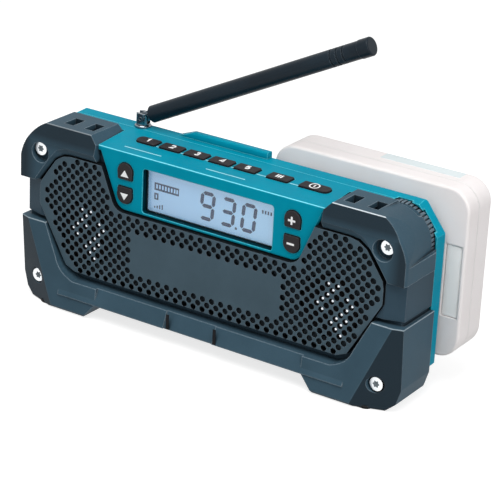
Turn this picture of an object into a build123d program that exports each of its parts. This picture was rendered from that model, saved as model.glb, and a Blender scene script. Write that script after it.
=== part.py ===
from build123d import *
from math import atan2, cos, hypot, radians, sin, tan
import os

os.makedirs("parts", exist_ok=True)

# Jobsite radio, in millimetres. X runs to the right, Y to the back, Z up.
# The origin is on the floor, mid-width, on the plane of the grille's face.

# ---- driving dimensions -------------------------------------------------------------------

# shells
half_width = 125.3
wall = 2.4
shell_front = 4.9  # face of the front housing's wall, behind the grille
seam = 33.4  # where the front and rear housings meet
back = 42.2
back_round = 2.0
core_top = 101.4
arch_low = 11.5  # underside between the feet
foot_low = 5.0  # underside of the housing over the feet
foot_inner = 72.0
foot_slope = 6.0
low_corner_run = 9.3  # the low corner starts this far in from the side
low_corner_z = 15.5
top_corner_z = 91.0
corner_lean = 0.775  # how far the top corners lean in for each millimetre of height

# deck, the sloping top between the corner guards
deck_front = 2.6
deck_front_z = 104.2
deck_rise = 3.0
deck_run = 35.0
deck_half = 74.5
strip_front = 27.0  # the strip behind the corner guards

# fascia, the coloured trapezoid round the display
fascia_front = 2.6
fascia_low = 69.3
fascia_low_half = 60.2
fascia_corner = 8.0
fascia_bevel = 0.8

# display
window_middle = -0.35
window_width = 86.3
window_low = 71.3
window_height = 26.1
window_corner = 1.8
display_recess = 4.0  # the lens lies this far behind the fascia's face
collar = 1.3  # wall of the fascia's collar round the display
collar_gap = 0.2
bezel_rim = 0.8
bezel_stand = 0.4  # the bezel stands this far in front of the lens
lens_thick = 1.2
lens_edge = 0.5
panel_thick = 1.6
backlight_thick = 1.2
backlight_inset = 1.5

# speaker grille
grille_thick = 1.8
grille_low = 24.3
grille_high = 93.4
grille_rim = 1.6
grille_gap = 0.1
grille_side = 11.3  # from the shells' side in to the grille
hole_pitch_x = 6.08
hole_pitch_z = 6.19
hole_reach = 1.8  # from a hole's centre to its corners
hole_sides = 6
hole_first_x = -93.1
hole_first_z = 91.2
hole_margin = 2.2  # from the middle of a hole to the fascia
hole_middle = 1.14  # middle of the lattice
bare_left = -50.0
bare_right = 51.5
bare_low = 33.4
bare_high = 59.0

# speakers
speaker_x = 81.0
speaker_z = 50.0
speaker_bore = 51.0
speaker_flange = 57.0
speaker_flange_thick = 2.0
cone_neck = 15.0
cone_depth = 9.0
cone_paper = 0.8
dust_cap_across = 27.0
dust_cap_rise = 7.0
magnet_across = 34.0
magnet_thick = 8.0

# top corner guards
guard_skin = 1.9  # how far the guards stand off the shells' sides
guard_top = 109.0
guard_front = -1.5
guard_side_front = 1.0
guard_slope_low = 98.2  # above this height the front leans back
guard_slope_top = 1.5
guard_top_back = 27.0
guard_side_back = 30.0
guard_low = 74.4
guard_arc_run = 16.6  # the rounded corner starts this far in from the side
guard_arc_side = 7.1  # and is this far in from the side at its middle
guard_arc_middle = 101.8
guard_arc_z = 87.5
guard_edge = 0.6  # the outer edge draws in this much towards the front
guard_inner = 79.2
strap_first = 82.1
strap_width = 6.6
strap_bridge = 7.7
strap_front = 7.8
strap_length = 10.8
strap_depth = 3.1  # thickness of the bridge between a pair of slots

# lower guard
bar_top = 19.7
bar_low = 10.0
bar_top_front = -2.0
bar_front = -5.7
column_top = 50.0
column_front = -1.2
column_gap = 1.0  # between the lower guard and the grille's slanted side
corner_front = 0.9  # front of the side faces beside the corner facets
arris_high = 121.5  # the facets' inner edge at the top of the lower guard
arris_low = 101.0
sole = 0.8
sole_side = 7.7  # the sole ends this far in from the side
sole_back = 25.0
heel_z = 6.0
tab_left = -21.0
tab_right = 12.0
tab_depth = 0.6
groove = 2.4
groove_depth = 1.6
neck_front = 1.5
neck_gap = 0.3
pad_front = -3.0
pad_back = 22.0
pad_side = 13.3  # from the shells' side in to a foot pad
pad_width = 32.0
pad_corner = 4.0
pad_thick = 2.0
rear_foot_x = 94.0
rear_foot_width = 22.0
rear_foot_front = 35.0

# screws
screw_side = 11.3  # from the shells' side in to the screws
top_screw_z = 93.0
low_screw_z = 15.5
top_screw_front = 0.9
low_screw_front = -0.6
screw_head = 8.0
screw_head_thick = 2.4
screw_shank = 3.4
screw_length = 20.0
screw_pocket = 12.0
pocket_shift_x = 1.4
pocket_shift_z = 1.4
boss_across = 7.6
driver_hole = 2.6

# keys
key_gap = 0.35  # round a key
key_stand = 1.1
key_travel = 0.8
key_clear = 0.3  # between a flange and the wall that holds it
key_flange = 0.9
key_flange_thick = 1.0
key_stem = 3.0
switch_thick = 1.3
switch_across = 5.0
key_corner = 1.0
deck_key_y = 20.7
deck_key_depth = 7.0
deck_key_lean = -0.37
deck_key_width = 14.0
deck_key_pitch = 16.7
deck_key_first = -53.5
band_key_x = 34.4
band_key_width = 13.8
power_key_x = 57.2
power_key_width = 18.0
deck_skin = 2.2  # deck thickness over the key flanges
face_key_x = 55.2
face_key_width = 9.8
face_key_height = 9.7
face_key_shoulder = 3.0
face_key_split = 85.95
face_key_apart = 4.5

# circuit boards
board_thick = 1.6
main_board_front = 10.6
main_board_half = 60.0
main_board_low = 70.5
main_board_high = 97.5
board_post_x = 47.2
board_post = 3.0
board_post_edge = 2.5  # from the board's edge to the middle of a post
key_board_drop = 4.8
key_board_half = 72.0
key_board_depth = 12.0

# tuning wheel
wheel_side = 21.5  # from the shells' side in to the wheel's axis
wheel_z = 86.8
wheel_radius = 20.0
wheel_front = 30.6
wheel_thick = 4.8
wheel_ribs = 60
wheel_rib = 0.6
wheel_clear = 0.6
wheel_shaft = 6.0
scoop_front = 23.7  # radius of the scoop round the wheel, at the guard's face
scoop_back = 20.3
scoop_low = 84.5
scoop_skin = 1.2  # thickness of the guard inside the scoop
scoop_lining = 1.8
encoder_size = 10.6
encoder_thick = 6.4
running_fit = 0.05

# antenna
antenna_x = -69.5
antenna_y = 37.6
antenna_pivot = 112.4
antenna_rise = 26.2  # degrees above level
antenna_swing = 3.5  # degrees back from straight right
socket_collar = 9.6
socket_across = 7.6
socket_rise = 1.2
swivel_stem = 5.6
swivel_across = 8.0
swivel_depth = 4.0
fork_width = 7.0
tongue_width = 2.8
knuckle_radius = 2.9
hinge_pin = 2.0
rod_across = 10.0
rod_start = 6.0
rod_length = 151.0
rod_neck = 6.6
tip_length = 7.0
rod_grooves = 3
rod_groove_pitch = 4.0
rod_groove_first = 132.0
rod_groove_depth = 0.5

# ridge behind the deck
ridge_left = -45.0
ridge_right = 15.0
ridge_slope = 10.0
ridge_front = 37.5
ridge_top = 111.0
ridge_round = 1.2

# battery dock and pack
rail_left = 30.0
rail_right = 120.0
stem_low = 45.0
stem_high = 90.0
head_low = 38.0
head_high = 97.0
stem_depth = 5.8  # how far the rail's stem stands off the back
head_thick = 2.0
rail_clear = 0.4
pack_left = 14.4
pack_right = 136.5
pack_low = 18.0
pack_high = 115.5
pack_front = 46.0
pack_split = 57.0
pack_back = 72.2
pack_corner = 13.0
pack_wall = 1.7
pack_edge = 3.0
latch_left = 124.5
latch_right = 134.0
latch_low = 42.4
latch_high = 83.6
latch_thick = 3.4
latch_inset = 0.6
latch_gap = 0.3
cell_across = 18.2
cell_length = 65.0
cell_left = 34.0
terminal_left = 36.0
terminal_width = 16.0
terminal_low = 55.0
terminal_high = 80.0
terminal_blades = 4

# ---- places that follow from the width ----------------------------------------------------

grille_half = half_width - grille_side
guard_half = half_width + guard_skin
low_corner_in = half_width - low_corner_run
screw_x = half_width - screw_side
wheel_x = half_width - wheel_side
pad_outer = half_width - pad_side
pad_inner = pad_outer - pad_width

# ---- shared geometry ----------------------------------------------------------------------


def front_plane(y, x=0, z=0):
    """A drawing plane at depth y seen from the front: local x is X, local y is Z."""
    return Plane(origin=(x, y, z), x_dir=(1, 0, 0), z_dir=(0, -1, 0))


def back_by(near, far):
    """The extrusion amount on a front plane that runs from depth near to depth far."""
    return near - far


deck_slope = atan2(deck_rise, deck_run)


def deck_height(y):
    return deck_front_z + (y - deck_front) * tan(deck_slope)


def deck_plane(x, y, height=0.0):
    """A drawing plane on the deck at (x, y), lifted by height along the deck's normal."""
    normal = Vector(0, -sin(deck_slope), cos(deck_slope))
    origin = Vector(x, y, deck_height(y)) + normal * height
    return Plane(origin=origin, x_dir=(1, 0, 0), z_dir=normal)


def both_sides(right_half):
    """A closed outline from its right half, listed from the bottom up."""
    return right_half + [(-x, z) for x, z in reversed(right_half)]


def corner_x(z):
    """Half width of the shells at height z on the leaning top corners."""
    return half_width - corner_lean * max(0.0, z - top_corner_z)


def shell_outline(top):
    """Outline of the shells seen from the front, closed at height top."""
    return both_sides(
        [
            (foot_inner - foot_slope, arch_low),
            (foot_inner, foot_low),
            (low_corner_in, foot_low),
            (half_width, low_corner_z),
            (half_width, top_corner_z),
            (corner_x(top), top),
        ]
    )


def fascia_half(z):
    """Half width of the fascia at height z."""
    lean = (deck_half - fascia_low_half) / (deck_front_z - fascia_low)
    return fascia_low_half + lean * (z - fascia_low)


slant_low = (grille_half - 17.2, 30.8)  # ends of the grille's long slanted side
slant_high = (grille_half, 60.6)
shoulder_low = (grille_half - 0.8, 74.0)  # ends of its shoulder beside the top corner guard
shoulder_high = (grille_half - 11.4, 89.0)
grille_right = [
    (grille_half - 26.0, grille_low),
    (grille_half - 19.4, 27.0),
    slant_low,
    slant_high,
    (grille_half, 69.5),
    shoulder_low,
    shoulder_high,
    (grille_half - 16.7, 92.4),
    (grille_half - 22.1, grille_high),
]
fascia_outline = [
    (-fascia_low_half, fascia_low),
    (fascia_low_half, fascia_low),
    (fascia_half(core_top), core_top),
    (-fascia_half(core_top), core_top),
]


def inside_edge(start, end, x, z):
    """Distance of a point to the left of the line from start to end."""
    (x0, z0), (x1, z1) = start, end
    return ((x1 - x0) * (z - z0) - (z1 - z0) * (x - x0)) / hypot(x1 - x0, z1 - z0)


def edge_clearance(outline, x, z):
    """Least distance from a point to the edges of a convex outline, negative outside it."""
    return min(inside_edge(start, end, x, z) for start, end in zip(outline, outline[1:] + outline[:1]))


def slant_x(z):
    """Right edge of the grille at height z on its long slanted side."""
    run = (slant_high[0] - slant_low[0]) / (slant_high[1] - slant_low[1])
    return slant_low[0] + run * (z - slant_low[1])


def deck_key_shape(width, grow, round_left=False, round_right=False):
    """Outline of a deck key: a leaning bar whose outer end is round where a row ends."""
    half = width / 2 + grow
    depth = deck_key_depth / 2 + grow
    lean = deck_key_lean
    with BuildSketch() as shape:
        with BuildLine():
            Polyline(
                (-half + lean, -depth),
                (half + lean, -depth),
                (half - lean, depth),
                (-half - lean, depth),
                close=True,
            )
        make_face()
        round_end = depth - key_gap
        fillet(shape.vertices().sort_by(Axis.X)[:2], round_end if round_left else key_corner)
        fillet(shape.vertices().sort_by(Axis.X)[-2:], round_end if round_right else key_corner)
    return shape.sketch


def face_key_shape(grow, above):
    """Outline of a fascia key: an arch, pointing up above the split and down below it."""
    half = face_key_width / 2 + grow
    turn = 0 if above else 180
    with BuildSketch() as shape:
        with BuildLine():
            Polyline(
                (-half, face_key_shoulder),
                (-half, -grow),
                (half, -grow),
                (half, face_key_shoulder),
            )
            ThreePointArc(
                (half, face_key_shoulder),
                (0, face_key_height + grow),
                (-half, face_key_shoulder),
            )
        make_face()
        fillet(shape.vertices().group_by(Axis.Y)[0], key_corner)
    with BuildSketch() as turned:
        add(shape.sketch, rotation=turn)
    return turned.sketch


def face_key_base(above):
    """Height of a fascia key's flat edge."""
    return face_key_split + (face_key_apart / 2 if above else -face_key_apart / 2)


face_keys = {
    "up_key": (-face_key_x, True),
    "down_key": (-face_key_x, False),
    "plus_key": (face_key_x, True),
    "minus_key": (face_key_x, False),
}
deck_keys = {}
for number in range(5):
    middle = deck_key_first + number * deck_key_pitch
    deck_keys[f"preset_key_{number + 1}"] = (middle, deck_key_width, number == 0, False)
deck_keys["band_key"] = (band_key_x, band_key_width, False, False)
deck_keys["power_key"] = (power_key_x, power_key_width, False, True)

screw_places = [
    (-screw_x, top_screw_z),
    (screw_x, top_screw_z),
    (-screw_x, low_screw_z),
    (screw_x, low_screw_z),
]
speaker_places = {"left": -speaker_x, "right": speaker_x}
inner_face = shell_front + wall
wheel_back = wheel_front + wheel_thick
encoder_front = wheel_front - wheel_clear - encoder_thick
window_centre = (window_middle, window_low + window_height / 2)
lens_front = fascia_front + display_recess
panel_front = lens_front + lens_thick
backlight_front = panel_front + panel_thick
top_boss_end = top_screw_front + screw_head_thick + screw_length
switch_front = main_board_front - switch_thick
key_board_top = core_top - key_board_drop


def scoop_radius(y):
    """Radius of the scoop round the tuning wheel at depth y."""
    return scoop_front + (scoop_back - scoop_front) * (y - guard_front) / (guard_side_back - guard_front)


def outside_scoop(shrink, near, far):
    """The top right corner's matter outside the scoop, drawn in by shrink, between two depths."""
    with BuildPart() as outside:
        with BuildSketch(front_plane(near, wheel_x, scoop_low)):
            Rectangle(guard_half, guard_top, align=(Align.MIN, Align.MIN))
        extrude(amount=back_by(near, far))
        with BuildSketch(front_plane(near, wheel_x, wheel_z)):
            Circle(scoop_radius(near) - shrink)
        with BuildSketch(front_plane(far, wheel_x, wheel_z)):
            Circle(scoop_radius(far) - shrink)
        loft(mode=Mode.SUBTRACT)
    return outside.part


def window_shape(grow):
    """The display window's outline with its round corners, grown all round."""
    with BuildSketch() as shape:
        with Locations(window_centre):
            RectangleRounded(
                window_width + 2 * grow,
                window_height + 2 * grow,
                window_corner + max(grow, -window_corner / 2),
            )
    return shape.sketch


def finish(builder, name):
    """Label a finished piece and write its file."""
    builder.part.label = name
    export_step(builder.part, f"parts/{name}.step")


# ---- front housing ------------------------------------------------------------------------

with BuildPart() as front_housing:
    with BuildSketch(front_plane(shell_front)):
        with BuildLine():
            Polyline(*shell_outline(core_top), close=True)
        make_face()
    extrude(amount=back_by(shell_front, seam))
    # inside, open to the back
    with BuildSketch(front_plane(inner_face)):
        with BuildLine():
            Polyline(*shell_outline(core_top), close=True)
        make_face()
        offset(amount=-wall, kind=Kind.INTERSECTION)
    extrude(amount=back_by(inner_face, seam), mode=Mode.SUBTRACT)
    # speaker openings, display bay and key bays in the front wall
    with BuildSketch(front_plane(shell_front)):
        with Locations((-speaker_x, speaker_z), (speaker_x, speaker_z)):
            Circle(speaker_bore / 2)
        add(window_shape(collar + collar_gap))
        with Locations((-face_key_x, face_key_split), (face_key_x, face_key_split)):
            Rectangle(
                face_key_width + 2 * key_flange + 1,
                2 * (face_key_height + key_flange) + face_key_apart + 1,
            )
    extrude(amount=back_by(shell_front, inner_face), mode=Mode.SUBTRACT)
    # opening in the top wall under the deck keys
    key_row_left = deck_key_first - deck_key_width / 2 - key_flange - 2
    key_row_right = power_key_x + power_key_width / 2 + key_flange + 2
    with BuildSketch(Plane.XY.offset(core_top)):
        with Locations(((key_row_left + key_row_right) / 2, deck_key_y)):
            Rectangle(key_row_right - key_row_left, deck_key_depth + 2 * key_flange + 2)
    extrude(amount=-wall, mode=Mode.SUBTRACT)
    # neck faces between the guards, sloping back to the sides
    for side in (-1, 1):
        with BuildSketch(front_plane(neck_front)):
            with BuildLine():
                Polyline(
                    (side * (grille_half + neck_gap), guard_low - neck_gap),
                    (side * half_width, guard_low - neck_gap),
                    (side * half_width, column_top + groove),
                    (side * (slant_x(column_top + groove) + neck_gap), column_top + groove),
                    (side * (grille_half + neck_gap), slant_high[1]),
                    close=True,
                )
            make_face()
        extrude(amount=back_by(neck_front, shell_front))
        with BuildSketch(Plane.XY.offset(column_top)):
            with BuildLine():
                Polyline(
                    (side * grille_half, neck_front),
                    (side * (half_width + 1), neck_front),
                    (side * (half_width + 1), shell_front),
                    (side * half_width, shell_front),
                    close=True,
                )
            make_face()
        extrude(amount=guard_low - column_top, mode=Mode.SUBTRACT)
    # groove round the sides above the lower guard
    with BuildSketch(Plane.XY.offset(column_top)):
        with Locations((0, (shell_front + seam) / 2)):
            Rectangle(2 * half_width + 2, seam - shell_front)
            Rectangle(2 * (half_width - groove_depth), seam - shell_front, mode=Mode.SUBTRACT)
    extrude(amount=groove, mode=Mode.SUBTRACT)
    # the corner round the wheel is lined inside and scooped outside
    with BuildPart(mode=Mode.PRIVATE) as lining:
        with BuildSketch(front_plane(inner_face)):
            with BuildLine():
                Polyline(*shell_outline(core_top), close=True)
            make_face()
        extrude(amount=back_by(inner_face, seam))
        add(outside_scoop(scoop_skin + scoop_lining, inner_face, seam), mode=Mode.INTERSECT)
    add(lining.part)
    add(outside_scoop(scoop_skin, guard_front, seam), mode=Mode.SUBTRACT)
    # screw bosses, encoder post and board posts
    with BuildSketch(front_plane(inner_face)):
        with Locations(*screw_places):
            Circle(boss_across / 2)
    extrude(amount=back_by(inner_face, top_boss_end))
    with BuildSketch(front_plane(inner_face)):
        with Locations((wheel_x, wheel_z)):
            Circle(boss_across / 2)
    extrude(amount=back_by(inner_face, encoder_front))
    with BuildSketch(front_plane(inner_face)):
        with Locations(
            (-board_post_x, main_board_high - board_post_edge),
            (board_post_x, main_board_high - board_post_edge),
            (-board_post_x, main_board_low + board_post_edge),
            (board_post_x, main_board_low + board_post_edge),
        ):
            Circle(board_post / 2)
    extrude(amount=back_by(inner_face, main_board_front))
    with BuildSketch(Plane.XY.offset(core_top - wall)):
        post_x = key_board_half - board_post / 2
        with Locations((-post_x, deck_key_y), (post_x, deck_key_y)):
            Rectangle(board_post, key_board_depth)
    extrude(amount=key_board_top - core_top + wall)
    # screw holes and the slot for the tuning wheel
    with BuildSketch(front_plane(shell_front)):
        with Locations(*screw_places):
            Circle(screw_shank / 2 + running_fit)
    extrude(amount=back_by(shell_front, top_boss_end), mode=Mode.SUBTRACT)
    with BuildSketch(front_plane(wheel_front - wheel_clear)):
        with Locations((wheel_x, wheel_z)):
            Circle(wheel_radius + wheel_clear)
    extrude(amount=back_by(wheel_front - wheel_clear, seam), mode=Mode.SUBTRACT)
finish(front_housing, "front_housing")

# ---- rear housing with the ridge and the battery dock --------------------------------------

with BuildPart() as rear_housing:
    with BuildSketch(front_plane(seam)):
        with BuildLine():
            Polyline(*shell_outline(deck_height(back)), close=True)
        make_face()
    extrude(amount=back_by(seam, back))
    fillet(rear_housing.faces().sort_by(Axis.Y)[-1].edges().sort_by(Axis.Z)[-1], back_round)
    with BuildSketch(deck_plane(0, seam)):
        Rectangle(3 * half_width, half_width)
    extrude(amount=wall + 4, mode=Mode.SUBTRACT)
    with BuildSketch(front_plane(seam)):
        with BuildLine():
            Polyline(*shell_outline(core_top), close=True)
        make_face()
        offset(amount=-wall, kind=Kind.INTERSECTION)
    extrude(amount=back_by(seam, back - wall), mode=Mode.SUBTRACT)
    # ridge: sloped at its left end and round at its right end
    with BuildSketch(front_plane(ridge_front)):
        with BuildLine():
            Polyline(
                (ridge_left, core_top + 2),
                (ridge_right, core_top + 2),
                (ridge_right, ridge_top),
                (ridge_left + ridge_slope, ridge_top),
                (ridge_left, deck_height(ridge_front)),
                close=True,
            )
        make_face()
    extrude(amount=back_by(ridge_front, back))
    ridge_edges = rear_housing.edges().filter_by(Axis.X).sort_by(Axis.Z)[-2:]
    fillet(ridge_edges, ridge_round)
    # battery dock: a T-shaped rail across the back
    with BuildSketch(front_plane(back)):
        with Locations(((rail_left + rail_right) / 2, (stem_low + stem_high) / 2)):
            Rectangle(rail_right - rail_left, stem_high - stem_low)
    extrude(amount=-stem_depth)
    with BuildSketch(front_plane(back + stem_depth)):
        with Locations(((rail_left + rail_right) / 2, (head_low + head_high) / 2)):
            Rectangle(rail_right - rail_left, head_high - head_low)
    extrude(amount=-head_thick)
    with BuildSketch(front_plane(back + stem_depth + head_thick)):
        with Locations((terminal_left + terminal_width / 2, (terminal_low + terminal_high) / 2)):
            Rectangle(terminal_width, terminal_high - terminal_low)
    extrude(amount=head_thick, mode=Mode.SUBTRACT)
    # rear feet
    with BuildSketch(front_plane(rear_foot_front)):
        with Locations((-rear_foot_x, foot_low / 2 + 0.1), (rear_foot_x, foot_low / 2 + 0.1)):
            Rectangle(rear_foot_width, foot_low + 0.2)
    extrude(amount=back_by(rear_foot_front, back))
    # slot for the tuning wheel and the bore for the antenna socket
    with BuildSketch(front_plane(seam)):
        with Locations((wheel_x, wheel_z)):
            Circle(wheel_radius + wheel_clear)
    extrude(amount=back_by(seam, wheel_back + wheel_clear), mode=Mode.SUBTRACT)
    with BuildSketch(Plane.XY.offset(core_top - wall)):
        with Locations((antenna_x, antenna_y)):
            Circle(socket_across / 2)
    extrude(amount=20, mode=Mode.SUBTRACT)
finish(rear_housing, "rear_housing")

# ---- fascia and deck ----------------------------------------------------------------------

with BuildPart() as control_fascia:
    with BuildSketch(front_plane(fascia_front)) as plate:
        with BuildLine():
            Polyline(*fascia_outline, close=True)
        make_face()
        fillet(plate.vertices().group_by(Axis.Y)[0], fascia_corner)
    extrude(amount=back_by(fascia_front, shell_front))
    lip = control_fascia.faces().sort_by(Axis.Y)[0].edges()
    chamfer(lip.sort_by(Axis.Z)[:-1], fascia_bevel)
    # sloping deck with a rounded front edge
    with BuildSketch(Plane.YZ.offset(-deck_half)) as profile:
        with BuildLine():
            Polyline(
                (deck_front, core_top),
                (deck_front, deck_front_z),
                (seam, deck_height(seam)),
                (seam, core_top),
                close=True,
            )
        make_face()
        fillet(profile.vertices().sort_by(Axis.X)[:2].sort_by(Axis.Y)[-1], 1.0)
    extrude(amount=2 * deck_half)
    # strip behind the corner guards
    with BuildSketch(front_plane(strip_front)):
        with BuildLine():
            Polyline(
                (-corner_x(core_top), core_top),
                (corner_x(core_top), core_top),
                (corner_x(guard_top), guard_top),
                (-corner_x(guard_top), guard_top),
                close=True,
            )
        make_face()
    extrude(amount=back_by(strip_front, seam))
    add(outside_scoop(0, strip_front, seam), mode=Mode.SUBTRACT)
    with BuildSketch(deck_plane(0, seam)):
        Rectangle(3 * half_width, half_width)
    extrude(amount=guard_top, mode=Mode.SUBTRACT)
    # collar that runs back round the display
    with BuildSketch(front_plane(shell_front)):
        add(window_shape(collar))
    extrude(amount=back_by(shell_front, backlight_front))
    # windows for the display and the fascia keys
    with BuildSketch(front_plane(fascia_front)):
        add(window_shape(0))
    extrude(amount=back_by(fascia_front, backlight_front), mode=Mode.SUBTRACT)
    for key_x, above in face_keys.values():
        with BuildSketch(front_plane(fascia_front, key_x, face_key_base(above))):
            add(face_key_shape(key_gap, above))
        extrude(amount=back_by(fascia_front, shell_front), mode=Mode.SUBTRACT)
    # windows and flange pockets for the deck keys
    for key_x, width, round_left, round_right in deck_keys.values():
        with BuildSketch(deck_plane(key_x, deck_key_y, -deck_skin)):
            add(deck_key_shape(width, key_gap, round_left, round_right))
        extrude(amount=2 * deck_skin, mode=Mode.SUBTRACT)
        with BuildSketch(deck_plane(key_x, deck_key_y, -deck_skin)):
            add(deck_key_shape(width, key_flange + key_clear))
        extrude(amount=-3 * deck_skin, mode=Mode.SUBTRACT)
    # clearance round the tuning wheel
    with BuildSketch(front_plane(wheel_front - wheel_clear)):
        with Locations((wheel_x, wheel_z)):
            Circle(wheel_radius + wheel_clear)
    extrude(amount=back_by(wheel_front - wheel_clear, seam), mode=Mode.SUBTRACT)
finish(control_fascia, "control_fascia")

# ---- top corner guards ----------------------------------------------------------------------


def guard_shape(side, inset, inner):
    """Front outline of a corner guard: its outer edge moved in by inset, its inner edge given."""
    outer = guard_half - inset
    with BuildSketch() as shape:
        with BuildLine():
            Line((side * guard_inner, guard_top), (side * (outer - guard_arc_run), guard_top))
            ThreePointArc(
                (side * (outer - guard_arc_run), guard_top),
                (side * (outer - guard_arc_side), guard_arc_middle),
                (side * outer, guard_arc_z),
            )
            Polyline(
                (side * outer, guard_arc_z),
                (side * outer, guard_low),
                *[(side * x, z) for x, z in inner],
                (side * guard_inner, guard_top),
            )
        make_face()
    return shape.sketch


inner_edge = [
    (shoulder_low[0] + 1.8, guard_low),
    (shoulder_high[0] + 0.9, 89.5),
    (shoulder_high[0] - 5.1, 93.3),
    (shoulder_high[0] - 10.6, 94.0),
    (deck_half + 0.1, 94.0),
    (deck_half + 0.1, 104.2),
]
inner_arris = [
    (shoulder_low[0] + 3.6, guard_low),
    (shoulder_high[0] + 3.8, 89.3),
    (shoulder_high[0] - 1.6, 95.6),
    (shoulder_high[0] - 8.6, 98.0),
    (deck_half + 0.3, 98.0),
    (deck_half + 0.2, 104.2),
]


def corner_guard(side):
    """A top corner guard with its strap slots, screw pocket and leaning front."""
    with BuildPart() as guard:
        with BuildSketch(front_plane(guard_side_front)):
            add(guard_shape(side, 0.0, inner_edge))
        extrude(amount=back_by(guard_side_front, guard_side_back))
        with BuildSketch(front_plane(guard_side_front)):
            add(guard_shape(side, 0.0, inner_edge))
        with BuildSketch(front_plane(guard_front)):
            add(guard_shape(side, guard_edge, inner_arris))
        loft(ruled=True)
        # the front leans back towards the top
        lean = (guard_slope_top - guard_front) / (guard_top - guard_slope_low)
        with BuildSketch(Plane.YZ):
            with BuildLine():
                Polyline(
                    (guard_front - 1, guard_slope_low - 1 / lean),
                    (guard_slope_top, guard_top),
                    (guard_slope_top, guard_top + 1),
                    (guard_front - 1, guard_top + 1),
                    close=True,
                )
            make_face()
        extrude(amount=guard_half + 1, both=True, mode=Mode.SUBTRACT)
        # it sits over the front housing, and its top ends at the strip
        with BuildPart(mode=Mode.PRIVATE) as covered:
            with BuildSketch(front_plane(shell_front)):
                with BuildLine():
                    Polyline(*shell_outline(core_top), close=True)
                make_face()
            extrude(amount=back_by(shell_front, seam))
            if side > 0:
                add(outside_scoop(scoop_skin, shell_front, seam), mode=Mode.SUBTRACT)
        add(covered.part, mode=Mode.SUBTRACT)
        if side > 0:
            add(outside_scoop(0, guard_front, guard_side_back), mode=Mode.SUBTRACT)
        with BuildSketch(front_plane(guard_top_back)):
            with BuildLine():
                Polyline(
                    (0, core_top),
                    (side * corner_x(core_top), core_top),
                    (side * (corner_x(guard_top) + 1), guard_top + 1),
                    (0, guard_top + 1),
                    close=True,
                )
            make_face()
        extrude(amount=back_by(guard_top_back, seam), mode=Mode.SUBTRACT)
        # a pair of strap slots, joined under the bridge between them
        slot_middle = strap_front + strap_length / 2
        with BuildSketch(Plane.XY.offset(guard_top)):
            with Locations(
                (side * (strap_first + strap_width / 2), slot_middle),
                (side * (strap_first + strap_width * 1.5 + strap_bridge), slot_middle),
            ):
                Rectangle(strap_width, strap_length)
        extrude(amount=core_top - guard_top, mode=Mode.SUBTRACT)
        with BuildSketch(Plane.XY.offset(core_top)):
            with Locations((side * (strap_first + strap_width + strap_bridge / 2), slot_middle)):
                Rectangle(strap_bridge, strap_length)
        extrude(amount=guard_top - strap_depth - core_top, mode=Mode.SUBTRACT)
        # screw pocket and hole
        pocket_floor = top_screw_front + screw_head_thick
        with BuildSketch(front_plane(guard_front)):
            with Locations((side * (screw_x - pocket_shift_x), top_screw_z - pocket_shift_z)):
                Circle(screw_pocket / 2)
        extrude(amount=back_by(guard_front, pocket_floor), mode=Mode.SUBTRACT)
        with BuildSketch(front_plane(guard_front)):
            with Locations((side * screw_x, top_screw_z)):
                Circle(screw_shank / 2 + running_fit)
        extrude(amount=back_by(guard_front, shell_front), mode=Mode.SUBTRACT)
    return guard


top_left_bumper = corner_guard(-1)
finish(top_left_bumper, "top_left_bumper")
top_right_bumper = corner_guard(1)
finish(top_right_bumper, "top_right_bumper")

# ---- lower guard ----------------------------------------------------------------------------

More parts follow.
